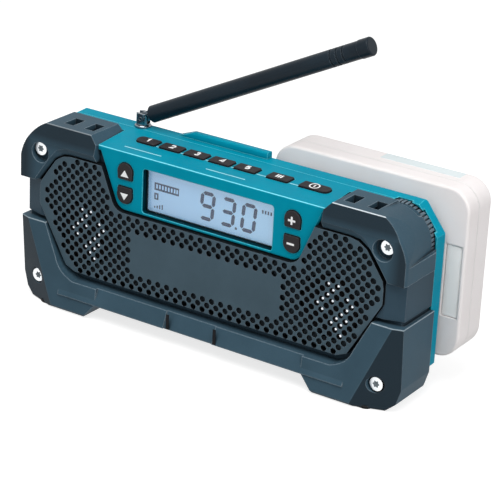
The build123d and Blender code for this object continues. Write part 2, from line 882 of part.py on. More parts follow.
with BuildPart() as bottom_bumper:
    # right column and foot, cut from the front outline and the side profile
    with BuildSketch(front_plane(bar_front)):
        with BuildLine():
            Polyline(
                (foot_inner - 2.5, bar_low),
                (foot_inner + 5.4, sole),
                (guard_half - sole_side, sole),
                (guard_half - 2.6, 5.0),
                (guard_half, 14.0),
                (guard_half, column_top),
                (slant_x(column_top) + column_gap, column_top),
                (slant_low[0] + 3.4, 32.2),
                (slant_low[0] + 1.8, 28.4),
                (slant_low[0] - 1.0, 24.6),
                (slant_low[0] - 4.6, 22.0),
                (slant_low[0] - 9.8, bar_top),
                (foot_inner - 2.5, bar_top),
                close=True,
            )
        make_face()
    extrude(amount=back_by(bar_front, seam))
    with BuildSketch(Plane.YZ.offset(60)) as side_view:
        with BuildLine():
            Polyline(
                (column_front, column_top),
                (bar_front + 0.1, 2.0),
                (bar_front + 1.0, sole),
                (sole_back, sole),
            )
            ThreePointArc((sole_back, sole), (seam - 2.8, sole + 1.8), (seam, heel_z))
            Polyline((seam, heel_z), (seam, column_top), (column_front, column_top))
        make_face()
    extrude(amount=80, mode=Mode.INTERSECT)
    # flat facet across the outer corner
    facet_top = Vector(guard_half, corner_front, column_top)
    facet_run = Vector(arris_high, column_front, column_top) - facet_top
    facet_fall = Vector(arris_low, bar_front + 0.2, 2.0) - facet_top
    facet = Plane(origin=facet_top, x_dir=-facet_run, z_dir=facet_run.cross(facet_fall))
    split(bisect_by=facet, keep=Keep.BOTTOM)
    # half of the bar that joins the feet, with its face flaring forward
    with BuildSketch(Plane.YZ):
        with BuildLine():
            Polyline(
                (bar_top_front, bar_top),
                (bar_front, bar_low),
                (shell_front, bar_low),
                (shell_front, bar_top),
                close=True,
            )
        make_face()
    extrude(amount=96)
    mirror(about=Plane.YZ)
    # it wraps the front housing
    with BuildSketch(front_plane(shell_front)):
        with BuildLine():
            Polyline(*shell_outline(core_top), close=True)
        make_face()
    extrude(amount=back_by(shell_front, seam), mode=Mode.SUBTRACT)
    # recesses for the pads and the centre tab
    with BuildSketch(Plane.XY.offset(0)):
        with Locations(
            (-(pad_inner + pad_outer) / 2, (pad_front + pad_back) / 2),
            ((pad_inner + pad_outer) / 2, (pad_front + pad_back) / 2),
        ):
            RectangleRounded(pad_width, pad_back - pad_front, pad_corner)
    extrude(amount=pad_thick, mode=Mode.SUBTRACT)
    with BuildSketch(Plane.YZ.offset(tab_left)):
        with BuildLine():
            Polyline(
                (bar_top_front - 5, bar_top + 1),
                (bar_top_front + tab_depth, bar_top + 1),
                (bar_top_front + tab_depth, bar_top),
                (bar_front + tab_depth, bar_low),
                (bar_front + tab_depth, bar_low - 1),
                (bar_top_front - 5, bar_low - 1),
                close=True,
            )
        make_face()
    extrude(amount=tab_right - tab_left, mode=Mode.SUBTRACT)
    # screw pockets and holes
    for side in (-1, 1):
        with BuildSketch(front_plane(bar_front)):
            with Locations((side * screw_x, low_screw_z)):
                Circle(screw_head / 2 + 0.8)
        extrude(amount=back_by(bar_front, low_screw_front + screw_head_thick), mode=Mode.SUBTRACT)
        with BuildSketch(front_plane(bar_front)):
            with Locations((side * screw_x, low_screw_z)):
                Circle(screw_shank / 2 + running_fit)
        extrude(amount=back_by(bar_front, shell_front), mode=Mode.SUBTRACT)
finish(bottom_bumper, "bottom_bumper")

for side_name, side in (("left", -1), ("right", 1)):
    with BuildPart() as foot_pad:
        with BuildSketch():
            with Locations((side * (pad_inner + pad_outer) / 2, (pad_front + pad_back) / 2)):
                RectangleRounded(pad_width, pad_back - pad_front, pad_corner)
        extrude(amount=pad_thick)
        chamfer(foot_pad.faces().sort_by(Axis.Z)[0].edges(), 0.5)
    finish(foot_pad, f"foot_pad_{side_name}")

# ---- speaker grille -------------------------------------------------------------------------


# the holes' centres stay inside this field, which is centred on the lattice
hole_field = both_sides(
    [
        (grille_half - 27.4, grille_low + 1.1),
        (grille_half - 18.1, 34.8),
        (grille_half - 3.4, 63.0),
        (grille_half - 3.4, 72.3),
        (grille_half - 15.2, 89.0),
        (grille_half - 18.0, grille_high - 1.4),
    ]
)


def hole_centres():
    """Centres of the grille's holes: a square lattice turned by 45 degrees, left bare mid-width."""
    centres = []
    for row in range(23):
        z = hole_first_z - row * hole_pitch_z / 2
        for column in range(-4, 36):
            x = hole_first_x + (column + (row % 2) / 2) * hole_pitch_x
            in_grille = edge_clearance(hole_field, x - hole_middle, z) > 0
            off_fascia = edge_clearance(fascia_outline, x, z) < -hole_margin
            in_bare_band = bare_left < x < bare_right and bare_low < z < bare_high
            if in_grille and off_fascia and not in_bare_band:
                centres.append((x, z))
    return centres


def grille_shape(inset):
    """The grille's outline moved in by inset, notched for the fascia."""
    with BuildSketch() as shape:
        with BuildLine():
            Polyline(*both_sides(grille_right), close=True)
        make_face()
        with BuildLine():
            Polyline(*fascia_outline, close=True)
        make_face(mode=Mode.SUBTRACT)
        offset(amount=-inset - grille_gap, kind=Kind.INTERSECTION)
    return shape.sketch


with BuildPart() as speaker_grille:
    with BuildSketch(front_plane(0)):
        add(grille_shape(0))
    extrude(amount=back_by(0, shell_front))
    with BuildSketch(front_plane(grille_thick)):
        add(grille_shape(grille_rim))
    extrude(amount=back_by(grille_thick, shell_front), mode=Mode.SUBTRACT)
    with BuildSketch(front_plane(0)):
        with Locations(*hole_centres()):
            RegularPolygon(hole_reach, hole_sides)
    extrude(amount=back_by(0, grille_thick), mode=Mode.SUBTRACT)
finish(speaker_grille, "speaker_grille")

# ---- speakers: frame, cone and dust cap, on each side ---------------------------------------

cone_front = inner_face + 1.0
cone_back = cone_front + cone_depth
magnet_front = cone_back + 1.5


def cap_profile(half_chord, rise_by, edge_y):
    """Three points on a domed cap's arc: its crown, its middle and its edge."""
    radius = (half_chord**2 + rise_by**2) / (2 * rise_by)
    half_turn = atan2(half_chord, radius - rise_by) / 2
    crown = edge_y - rise_by
    middle = (radius * sin(half_turn), crown + radius * (1 - cos(half_turn)))
    return (0, crown), middle, (half_chord, edge_y)


for side_name, speaker_mid in speaker_places.items():
    axis_plane = Plane(origin=(speaker_mid, 0, speaker_z), x_dir=(1, 0, 0), z_dir=(0, 0, 1))
    with BuildPart() as speaker_frame:
        with BuildSketch(axis_plane):
            with BuildLine():
                Polyline(
                    (speaker_bore / 2, inner_face),
                    (speaker_flange / 2, inner_face),
                    (speaker_flange / 2, inner_face + speaker_flange_thick),
                    (speaker_bore / 2, inner_face + speaker_flange_thick),
                    (magnet_across / 2, magnet_front - 0.5),
                    (magnet_across / 2, magnet_front + magnet_thick),
                    (0, magnet_front + magnet_thick),
                    (0, magnet_front),
                    (magnet_across / 2 - 2, magnet_front),
                    (speaker_bore / 2 - 1.4, inner_face + speaker_flange_thick),
                    (speaker_bore / 2 - 1.4, inner_face),
                    close=True,
                )
            make_face()
        revolve(axis=Axis((speaker_mid, 0, speaker_z), (0, 1, 0)))
    finish(speaker_frame, f"speaker_frame_{side_name}")

    with BuildPart() as speaker_cone:
        with BuildSketch(axis_plane):
            cone_edge = speaker_bore / 2 - 1.4
            with BuildLine():
                Polyline((cone_edge, cone_front), (cone_edge, cone_front - cone_paper))
                ThreePointArc(
                    (cone_edge, cone_front - cone_paper),
                    (cone_edge - 2.5, cone_front - cone_paper - 1.4),
                    (cone_edge - 5, cone_front - cone_paper),
                )
                Polyline(
                    (cone_edge - 5, cone_front - cone_paper),
                    (cone_neck / 2, cone_back - cone_paper),
                    (cone_neck / 2 - cone_paper, cone_back - cone_paper),
                    (cone_neck / 2 - cone_paper, magnet_front),
                    (cone_neck / 2, magnet_front),
                    (cone_neck / 2, cone_back),
                    (cone_edge - 5, cone_front),
                    (cone_edge, cone_front),
                )
            make_face()
        revolve(axis=Axis((speaker_mid, 0, speaker_z), (0, 1, 0)))
    finish(speaker_cone, f"speaker_cone_{side_name}")

    # the cap closes the middle of the cone, resting on its slope
    cone_slope = (cone_depth) / (cone_edge - 5 - cone_neck / 2)
    cap_edge_y = cone_front - cone_paper + (cone_edge - 5 - dust_cap_across / 2) * cone_slope
    with BuildPart() as dust_cap:
        with BuildSketch(axis_plane):
            outer = cap_profile(dust_cap_across / 2, dust_cap_rise, cap_edge_y)
            inner = cap_profile(dust_cap_across / 2 - cone_paper, dust_cap_rise - cone_paper, cap_edge_y)
            with BuildLine():
                ThreePointArc(*outer)
                Line(outer[2], inner[2])
                ThreePointArc(*reversed(inner))
                Line(inner[0], outer[0])
            make_face()
        revolve(axis=Axis((speaker_mid, 0, speaker_z), (0, 1, 0)))
    finish(dust_cap, f"dust_cap_{side_name}")

# ---- display --------------------------------------------------------------------------------

with BuildPart() as display_bezel:
    with BuildSketch(front_plane(lens_front - bezel_stand)):
        add(window_shape(0))
        add(window_shape(-bezel_rim), mode=Mode.SUBTRACT)
    extrude(amount=back_by(lens_front - bezel_stand, panel_front))
finish(display_bezel, "display_bezel")

with BuildPart() as display_lens:
    with BuildSketch(front_plane(lens_front)):
        add(window_shape(-bezel_rim))
    extrude(amount=-lens_thick)
    chamfer(display_lens.faces().sort_by(Axis.Y)[0].edges(), lens_edge)
finish(display_lens, "display_lens")

with BuildPart() as display_panel:
    with BuildSketch(front_plane(panel_front)):
        add(window_shape(-collar_gap))
    extrude(amount=-panel_thick)
finish(display_panel, "display_panel")

with BuildPart() as display_backlight:
    with BuildSketch(front_plane(backlight_front)):
        add(window_shape(-backlight_inset))
    extrude(amount=-backlight_thick)
finish(display_backlight, "display_backlight")

# ---- circuit boards -------------------------------------------------------------------------

with BuildPart() as main_board:
    with BuildSketch(front_plane(main_board_front)):
        with Locations((0, (main_board_low + main_board_high) / 2)):
            Rectangle(2 * main_board_half, main_board_high - main_board_low)
    extrude(amount=-board_thick)
    for key_x, above in face_keys.values():
        middle = face_key_base(above) + (face_key_height / 2 if above else -face_key_height / 2)
        with BuildSketch(front_plane(switch_front)):
            with Locations((key_x, middle)):
                Circle(switch_across / 2)
        extrude(amount=-switch_thick)
    # the board's larger components, on its rear face
    with BuildSketch(front_plane(main_board_front + board_thick)):
        with Locations((-30, 84), (0, 84), (28, 84)):
            Rectangle(16, 14)
    extrude(amount=-2.2)
finish(main_board, "main_board")

with BuildPart() as key_board:
    with BuildSketch(Plane.XY.offset(key_board_top)):
        with Locations((0, deck_key_y)):
            Rectangle(2 * key_board_half, key_board_depth)
    extrude(amount=-board_thick)
    with BuildSketch(Plane.XY.offset(key_board_top)):
        with Locations(*[(key[0], deck_key_y) for key in deck_keys.values()]):
            Circle(switch_across / 2)
    extrude(amount=switch_thick)
finish(key_board, "key_board")

# ---- keys -----------------------------------------------------------------------------------

for name, (key_x, above) in face_keys.items():
    base = face_key_base(above)
    middle = base + (face_key_height / 2 if above else -face_key_height / 2)
    flange_front = shell_front + key_clear
    with BuildPart() as face_key:
        with BuildSketch(front_plane(fascia_front - key_stand, key_x, base)):
            add(face_key_shape(0, above))
        extrude(amount=back_by(fascia_front - key_stand, flange_front))
        fillet(face_key.faces().sort_by(Axis.Y)[0].edges(), 0.4)
        with BuildSketch(front_plane(flange_front, key_x, base)):
            add(face_key_shape(key_flange, above))
        extrude(amount=-key_flange_thick)
        with BuildSketch(front_plane(flange_front + key_flange_thick)):
            with Locations((key_x, middle)):
                Circle(key_stem / 2)
        extrude(amount=back_by(flange_front + key_flange_thick, switch_front - key_travel - key_clear))
    finish(face_key, name)

for name, (key_x, width, round_left, round_right) in deck_keys.items():
    flange_top = deck_skin + key_clear
    switch_top = key_board_top + switch_thick
    stem_end = (deck_height(deck_key_y) - switch_top) * cos(deck_slope) - key_travel - key_clear
    with BuildPart() as deck_key:
        with BuildSketch(deck_plane(key_x, deck_key_y, -flange_top)):
            add(deck_key_shape(width, 0, round_left, round_right))
        extrude(amount=flange_top + key_stand)
        fillet(deck_key.faces().sort_by(Axis.Z)[-1].edges(), 0.4)
        with BuildSketch(deck_plane(key_x, deck_key_y, -flange_top)):
            add(deck_key_shape(width, key_flange))
        extrude(amount=-key_flange_thick)
        with BuildSketch(deck_plane(key_x, deck_key_y, -flange_top - key_flange_thick)):
            Circle(key_stem / 2)
        extrude(amount=flange_top + key_flange_thick - stem_end)
    finish(deck_key, name)

# ---- tuning wheel and encoder ---------------------------------------------------------------

with BuildPart() as tuning_encoder:
    with BuildSketch(front_plane(encoder_front)):
        with Locations((wheel_x, wheel_z)):
            Rectangle(encoder_size, encoder_size)
    extrude(amount=-encoder_thick)
    with BuildSketch(front_plane(encoder_front + 1.6)):
        with Locations((wheel_x, wheel_z)):
            Circle(wheel_shaft / 2 + running_fit)
    extrude(amount=-encoder_thick, mode=Mode.SUBTRACT)
finish(tuning_encoder, "tuning_encoder")

with BuildPart() as tuning_wheel:
    with BuildSketch(front_plane(wheel_front, wheel_x, wheel_z)):
        Circle(wheel_radius)
        with PolarLocations(wheel_radius, wheel_ribs):
            Rectangle(2 * wheel_rib, 2 * wheel_rib, rotation=45, mode=Mode.SUBTRACT)
    extrude(amount=-wheel_thick)
    with BuildSketch(front_plane(wheel_front, wheel_x, wheel_z)):
        Circle(wheel_radius - 4.5)
        Circle(wheel_shaft / 2 + 2.5, mode=Mode.SUBTRACT)
    extrude(amount=-1.2, mode=Mode.SUBTRACT)
    with BuildSketch(front_plane(wheel_front, wheel_x, wheel_z)):
        Circle(wheel_shaft / 2)
    extrude(amount=wheel_front - encoder_front - 1.6 - wheel_clear)
finish(tuning_wheel, "tuning_wheel")

# ---- antenna ----------------------------------------------------------------------------------

socket_top = deck_height(antenna_y) + socket_rise
swing = radians(antenna_swing)
rise = radians(antenna_rise)
pivot = Vector(antenna_x, antenna_y, antenna_pivot)
level = Vector(cos(swing), sin(swing), 0)
tilt_axis = Vector(sin(swing), -cos(swing), 0)
along_rod = level * cos(rise) + Vector(0, 0, sin(rise))
hinge_plane = Plane(origin=pivot, x_dir=level, z_dir=tilt_axis)


def rod_plane(distance):
    """A drawing plane square to the rod, at a distance from the pivot."""
    return Plane(origin=pivot + along_rod * distance, x_dir=tilt_axis, z_dir=along_rod)


with BuildPart() as antenna_socket:
    # collar that rests on the sloping deck
    with BuildSketch(Plane.XY.offset(socket_top)):
        with Locations((antenna_x, antenna_y)):
            Circle(socket_collar / 2)
    extrude(amount=-2 * socket_rise)
    chamfer(antenna_socket.faces().sort_by(Axis.Z)[-1].edges(), 0.5)
    with BuildSketch(deck_plane(antenna_x, antenna_y)):
        Circle(socket_collar)
    extrude(amount=-2 * socket_rise, mode=Mode.SUBTRACT)
    # spigot through the rear housing's top wall
    with BuildSketch(Plane.XY.offset(core_top - wall)):
        with Locations((antenna_x, antenna_y)):
            Circle(socket_across / 2)
    extrude(amount=socket_top - core_top + wall)
    with BuildSketch(Plane.XY.offset(socket_top)):
        with Locations((antenna_x, antenna_y)):
            Circle(swivel_stem / 2 + running_fit)
    extrude(amount=-swivel_depth, mode=Mode.SUBTRACT)
finish(antenna_socket, "antenna_socket")

with BuildPart() as antenna_swivel:
    with BuildSketch(Plane.XY.offset(socket_top - swivel_depth + key_clear)):
        with Locations((antenna_x, antenna_y)):
            Circle(swivel_stem / 2)
    extrude(amount=swivel_depth)
    with BuildSketch(Plane.XY.offset(socket_top + key_clear)):
        with Locations((antenna_x, antenna_y)):
            Circle(swivel_across / 2)
    extrude(amount=antenna_pivot + knuckle_radius - socket_top - key_clear)
    # slot for the knuckle's tongue, round-bottomed by the knuckle's own radius
    with BuildSketch(hinge_plane.offset(-tongue_width / 2 - key_clear)):
        with BuildLine():
            reach = swivel_across
            Polyline((-reach, 0), (-reach, reach), (reach, reach), (reach, -knuckle_radius - key_clear))
            Polyline(
                (reach, -knuckle_radius - key_clear),
                (-reach, -knuckle_radius - key_clear),
                (-reach, 0),
            )
        make_face()
    extrude(amount=tongue_width + 2 * key_clear, mode=Mode.SUBTRACT)
    with BuildSketch(hinge_plane.offset(-swivel_across)):
        Circle(hinge_pin / 2 + running_fit)
    extrude(amount=2 * swivel_across, mode=Mode.SUBTRACT)
    # flats on the cheeks, across the pin
    for cheek in (-1, 1):
        with BuildSketch(hinge_plane.offset(cheek * fork_width / 2)):
            Rectangle(3 * swivel_across, 2 * (antenna_pivot - socket_top - 0.4))
        extrude(amount=cheek * swivel_across, mode=Mode.SUBTRACT)
finish(antenna_swivel, "antenna_swivel")

with BuildPart() as antenna_hinge_pin:
    with BuildSketch(hinge_plane.offset(-fork_width / 2)):
        Circle(hinge_pin / 2)
    extrude(amount=fork_width)
finish(antenna_hinge_pin, "antenna_hinge_pin")

with BuildPart() as antenna_knuckle:
    with BuildSketch(hinge_plane.offset(-tongue_width / 2)):
        Circle(knuckle_radius)
    extrude(amount=tongue_width)
    with BuildSketch(rod_plane(0)):
        Rectangle(tongue_width, 2 * knuckle_radius)
    extrude(amount=rod_start)
    with BuildSketch(rod_plane(rod_start)):
        Circle(rod_neck / 2)
    extrude(amount=3.0)
    with BuildSketch(hinge_plane.offset(-tongue_width)):
        Circle(hinge_pin / 2 + running_fit)
    extrude(amount=2 * tongue_width, mode=Mode.SUBTRACT)
finish(antenna_knuckle, "antenna_knuckle")

with BuildPart() as antenna_rod:
    with BuildSketch(rod_plane(rod_start)):
        Circle(rod_across / 2)
    extrude(amount=rod_length - tip_length)
    chamfer(antenna_rod.edges().sort_by(Axis.Z)[0], 1.2)
    with BuildSketch(rod_plane(rod_start)):
        Circle(rod_neck / 2)
    extrude(amount=3.0, mode=Mode.SUBTRACT)
    for number in range(rod_grooves):
        with BuildSketch(rod_plane(rod_groove_first + number * rod_groove_pitch)):
            Circle(rod_across / 2 + 1)
            Circle(rod_across / 2 - rod_groove_depth, mode=Mode.SUBTRACT)
        extrude(amount=1.2, mode=Mode.SUBTRACT)
finish(antenna_rod, "antenna_rod")

with BuildPart() as antenna_tip_cap:
    with BuildSketch(rod_plane(rod_start + rod_length - tip_length)):
        Circle(rod_across / 2 + 0.3)
    extrude(amount=tip_length)
    fillet(antenna_tip_cap.faces().sort_by(Axis.X)[-1].edges(), 1.0)
finish(antenna_tip_cap, "antenna_tip_cap")

# ---- screws -----------------------------------------------------------------------------------

with BuildPart() as front_screws:
    for screw_mid, screw_z in screw_places:
        head_front = top_screw_front if screw_z > guard_low else low_screw_front
        with BuildSketch(front_plane(head_front)):
            with Locations((screw_mid, screw_z)):
                Circle(screw_head / 2)
        extrude(amount=-screw_head_thick)
        with BuildSketch(front_plane(head_front + screw_head_thick)):
            with Locations((screw_mid, screw_z)):
                Circle(screw_shank / 2)
        extrude(amount=-screw_length + 1)
        with BuildSketch(front_plane(head_front)):
            with Locations((screw_mid, screw_z)):
                RegularPolygon(driver_hole / 2, 6)
        extrude(amount=-1.2, mode=Mode.SUBTRACT)
finish(front_screws, "front_screws")

# ---- battery dock terminals and battery pack ------------------------------------------------

rail_face = back + stem_depth + head_thick

with BuildPart() as terminal_block:
    with BuildSketch(front_plane(rail_face - head_thick)):
        with Locations((terminal_left + terminal_width / 2, (terminal_low + terminal_high) / 2)):
            Rectangle(terminal_width, terminal_high - terminal_low)
    extrude(amount=-head_thick)
    with BuildSketch(front_plane(rail_face - 0.8)):
        with Locations((terminal_left + terminal_width / 2, (terminal_low + terminal_high) / 2)):
            with GridLocations(1, (terminal_high - terminal_low) / terminal_blades, 1, terminal_blades):
                Rectangle(terminal_width - 4, 2.4)
    extrude(amount=-2.0, mode=Mode.SUBTRACT)
finish(terminal_block, "terminal_block")


def pack_shape(inset):
    """The battery pack's outline seen from the front, moved in by inset."""
    with BuildSketch() as shape:
        with Locations(((pack_left + pack_right) / 2, (pack_low + pack_high) / 2)):
            RectangleRounded(
                pack_right - pack_left - 2 * inset,
                pack_high - pack_low - 2 * inset,
                pack_corner - inset,
            )
    return shape.sketch


channel_back = rail_face + rail_clear
slot_right = rail_right + rail_clear
slot_middle_x = (pack_left - 1 + slot_right) / 2
slot_length = slot_right - pack_left + 1

with BuildPart() as battery_case_front:
    with BuildSketch(front_plane(pack_front)):
        add(pack_shape(0))
    extrude(amount=back_by(pack_front, pack_split))
    fillet(battery_case_front.faces().sort_by(Axis.Y)[0].edges(), 1.5)
    # inside, behind the channel floor
    with BuildSketch(front_plane(channel_back + pack_wall)):
        add(pack_shape(pack_wall))
    extrude(amount=back_by(channel_back + pack_wall, pack_split), mode=Mode.SUBTRACT)
    # channel that takes the dock's rail, open at the left end
    with BuildSketch(front_plane(pack_front)):
        with Locations((slot_middle_x, (stem_low + stem_high) / 2)):
            Rectangle(slot_length, stem_high - stem_low + 2 * rail_clear)
    extrude(amount=back_by(pack_front, channel_back), mode=Mode.SUBTRACT)
    with BuildSketch(front_plane(back + stem_depth - rail_clear)):
        with Locations((slot_middle_x, (head_low + head_high) / 2)):
            Rectangle(slot_length, head_high - head_low + 2 * rail_clear)
    extrude(amount=back_by(back + stem_depth - rail_clear, channel_back), mode=Mode.SUBTRACT)
    # window for the latch
    with BuildSketch(front_plane(pack_front)):
        with Locations(((latch_left + latch_right) / 2, (latch_low + latch_high) / 2)):
            Rectangle(latch_right - latch_left + 2 * latch_gap, latch_high - latch_low + 2 * latch_gap)
    extrude(amount=back_by(pack_front, pack_split), mode=Mode.SUBTRACT)
    # seats for the contacts
    with BuildSketch(front_plane(channel_back)):
        with Locations((terminal_left + terminal_width / 2, (terminal_low + terminal_high) / 2)):
            with GridLocations(1, (terminal_high - terminal_low) / terminal_blades, 1, terminal_blades):
                Rectangle(terminal_width - 5, 1.6)
    extrude(amount=-0.8, mode=Mode.SUBTRACT)
finish(battery_case_front, "battery_case_front")

with BuildPart() as battery_contacts:
    with BuildSketch(front_plane(channel_back)):
        with Locations((terminal_left + terminal_width / 2, (terminal_low + terminal_high) / 2)):
            with GridLocations(1, (terminal_high - terminal_low) / terminal_blades, 1, terminal_blades):
                Rectangle(terminal_width - 5, 1.6)
    extrude(amount=-0.8)
finish(battery_contacts, "battery_contacts")

with BuildPart() as battery_case_rear:
    with BuildSketch(front_plane(pack_split)):
        add(pack_shape(0))
    extrude(amount=back_by(pack_split, pack_back))
    fillet(battery_case_rear.faces().sort_by(Axis.Y)[-1].edges(), pack_edge)
    with BuildSketch(front_plane(pack_split)):
        add(pack_shape(pack_wall))
    extrude(amount=back_by(pack_split, pack_back - pack_wall), mode=Mode.SUBTRACT)
finish(battery_case_rear, "battery_case_rear")

cell_y = (channel_back + pack_back) / 2
with BuildPart() as battery_cells:
    with BuildSketch(Plane.YZ.offset(cell_left)):
        with Locations((cell_y, (pack_low + pack_high) / 2)):
            with GridLocations(1, cell_across + 1.0, 1, 3):
                Circle(cell_across / 2)
    extrude(amount=cell_length)
finish(battery_cells, "battery_cells")

with BuildPart() as battery_latch:
    with BuildSketch(front_plane(pack_front + latch_inset)):
        with Locations(((latch_left + latch_right) / 2, (latch_low + latch_high) / 2)):
            Rectangle(latch_right - latch_left, latch_high - latch_low)
    extrude(amount=-latch_thick)
    grip = battery_latch.faces().sort_by(Axis.Y)[0]
    chamfer(grip.edges(), 0.5)
finish(battery_latch, "battery_latch")
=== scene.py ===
import math

import bpy
import numpy as np
from mathutils import Matrix, Vector
from mathutils.geometry import delaunay_2d_cdt


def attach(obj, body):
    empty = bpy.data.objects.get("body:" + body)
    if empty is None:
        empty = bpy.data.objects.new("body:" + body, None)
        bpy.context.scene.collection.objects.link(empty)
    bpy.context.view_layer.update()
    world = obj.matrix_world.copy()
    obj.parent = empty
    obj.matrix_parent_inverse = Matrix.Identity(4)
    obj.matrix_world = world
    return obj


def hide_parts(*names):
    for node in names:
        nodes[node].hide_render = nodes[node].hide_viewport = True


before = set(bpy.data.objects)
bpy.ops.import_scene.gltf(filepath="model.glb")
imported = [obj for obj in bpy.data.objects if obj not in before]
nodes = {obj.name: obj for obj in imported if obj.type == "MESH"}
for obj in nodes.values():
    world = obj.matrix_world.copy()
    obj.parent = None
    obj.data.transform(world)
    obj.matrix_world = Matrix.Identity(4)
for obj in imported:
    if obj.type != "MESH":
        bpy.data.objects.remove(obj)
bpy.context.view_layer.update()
MM = 0.001

# ---- camera, lamps and floor --------------------------------------------------------------


def stand_camera():
    """The camera looks from 33 degrees right of the front and 22 degrees above the floor, rolled by 3."""
    turn, lift, roll = (math.radians(v) for v in (32.649, 22.505, 2.813))
    right = Vector((math.cos(turn), math.sin(turn), 0))
    toward = Vector((math.sin(turn) * math.cos(lift), -math.cos(turn) * math.cos(lift), math.sin(lift)))
    up = toward.cross(right)
    across = math.cos(roll) * right + math.sin(roll) * up
    upright = math.cos(roll) * up - math.sin(roll) * right
    lens = bpy.data.cameras.new("camera")
    lens.lens = 152.235
    lens.sensor_width = 36
    lens.clip_start = 0.05
    lens.clip_end = 20
    camera = bpy.data.objects.new("camera", lens)
    turned = Matrix((across, upright, toward)).transposed().to_4x4()
    camera.matrix_world = Matrix.Translation((0.597034, -0.883903, 0.504558)) @ turned
    bpy.context.scene.collection.objects.link(camera)
    bpy.context.scene.camera = camera


def hang_lamp(name, place, aim, size, power, tint):
    """A rectangular soft lamp at place that faces aim."""
    lamp = bpy.data.lights.new(name, "AREA")
    lamp.shape = "RECTANGLE"
    lamp.size, lamp.size_y = size
    lamp.energy = power
    lamp.color = tint
    holder = bpy.data.objects.new(name, lamp)
    holder.location = place
    holder.rotation_euler = (Vector(aim) - Vector(place)).to_track_quat("-Z", "Y").to_euler()
    bpy.context.scene.collection.objects.link(holder)


def seen_strength(tree, hidden, seen):
    """The strength seen by camera, glossy and transmission rays; all other rays get hidden."""
    path = tree.nodes.new("ShaderNodeLightPath")
    either = path.outputs["Is Camera Ray"]
    for ray in ("Is Glossy Ray", "Is Transmission Ray"):
        either = add_math(tree, "MAXIMUM", either, path.outputs[ray])
    return spread(tree, either, hidden, seen, 0.0, 1.0)


def light_room():
    """A white room to the eye and to reflections, and a plain grey one as a light source."""
    world = bpy.data.worlds.new("room")
    bpy.context.scene.world = world
    world.use_nodes = True
    tree = world.node_tree
    tree.nodes.clear()
    glow = tree.nodes.new("ShaderNodeBackground")
    glow.inputs["Color"].default_value = (1, 1, 1, 1)
    tree.links.new(seen_strength(tree, 0.36, 1.0), glow.inputs["Strength"])
    out = tree.nodes.new("ShaderNodeOutputWorld")
    tree.links.new(glow.outputs[0], out.inputs["Surface"])


# ---- finishes -----------------------------------------------------------------------------


def paint(red, green, blue):
    """A display colour, 0 to 255, as the linear colour that the shaders take."""
    part = np.array([red, green, blue]) / 255.0
    linear = np.where(part <= 0.04045, part / 12.92, ((part + 0.055) / 1.055) ** 2.4)
    return (*linear.tolist(), 1.0)


def new_group(name, inputs, outputs):
    """An empty shader group with named sockets; returns it with its input and output nodes."""
    group = bpy.data.node_groups.new(name, "ShaderNodeTree")
    for label, value in inputs:
        socket = group.interface.new_socket(label, in_out="INPUT", socket_type="NodeSocketFloat")
        socket.default_value = value
    for label, kind in outputs:
        group.interface.new_socket(label, in_out="OUTPUT", socket_type=kind)
    return group, group.nodes.new("NodeGroupInput"), group.nodes.new("NodeGroupOutput")


def add_math(tree, operation, first, second=None, third=None):
    """A Math node on sockets or plain numbers."""
    node = tree.nodes.new("ShaderNodeMath")
    node.operation = operation
    for place, value in enumerate((first, second, third)):
        if value is None:
            continue
        if isinstance(value, (int, float)):
            node.inputs[place].default_value = value
        else:
            tree.links.new(value, node.inputs[place])
    return node.outputs[0]


def add_noise(tree, where, scale, detail, roughness=0.5):
    """Noise at scale, which is a socket or a number, in waves per metre."""
    node = tree.nodes.new("ShaderNodeTexNoise")
    node.inputs["Detail"].default_value = detail
    node.inputs["Roughness"].default_value = roughness
    tree.links.new(where, node.inputs["Vector"])
    if isinstance(scale, (int, float)):
        node.inputs["Scale"].default_value = scale
    else:
        tree.links.new(scale, node.inputs["Scale"])
    return node.outputs[0]


def spread(tree, value, low, high, start=0.3, stop=0.7):
    """Maps a socket's value from start..stop to low..high."""
    node = tree.nodes.new("ShaderNodeMapRange")
    node.inputs["From Min"].default_value = start
    node.inputs["From Max"].default_value = stop
    node.inputs["To Min"].default_value = low
    node.inputs["To Max"].default_value = high
    tree.links.new(value, node.inputs["Value"])
    return node.outputs[0]


def rising(tree, value, start, stop):
    """0 below start and 1 above stop."""
    return spread(tree, value, 0.0, 1.0, start, stop)


def falling(tree, value, start, stop):
    """1 below start and 0 above stop."""
    return spread(tree, value, 1.0, 0.0, start, stop)


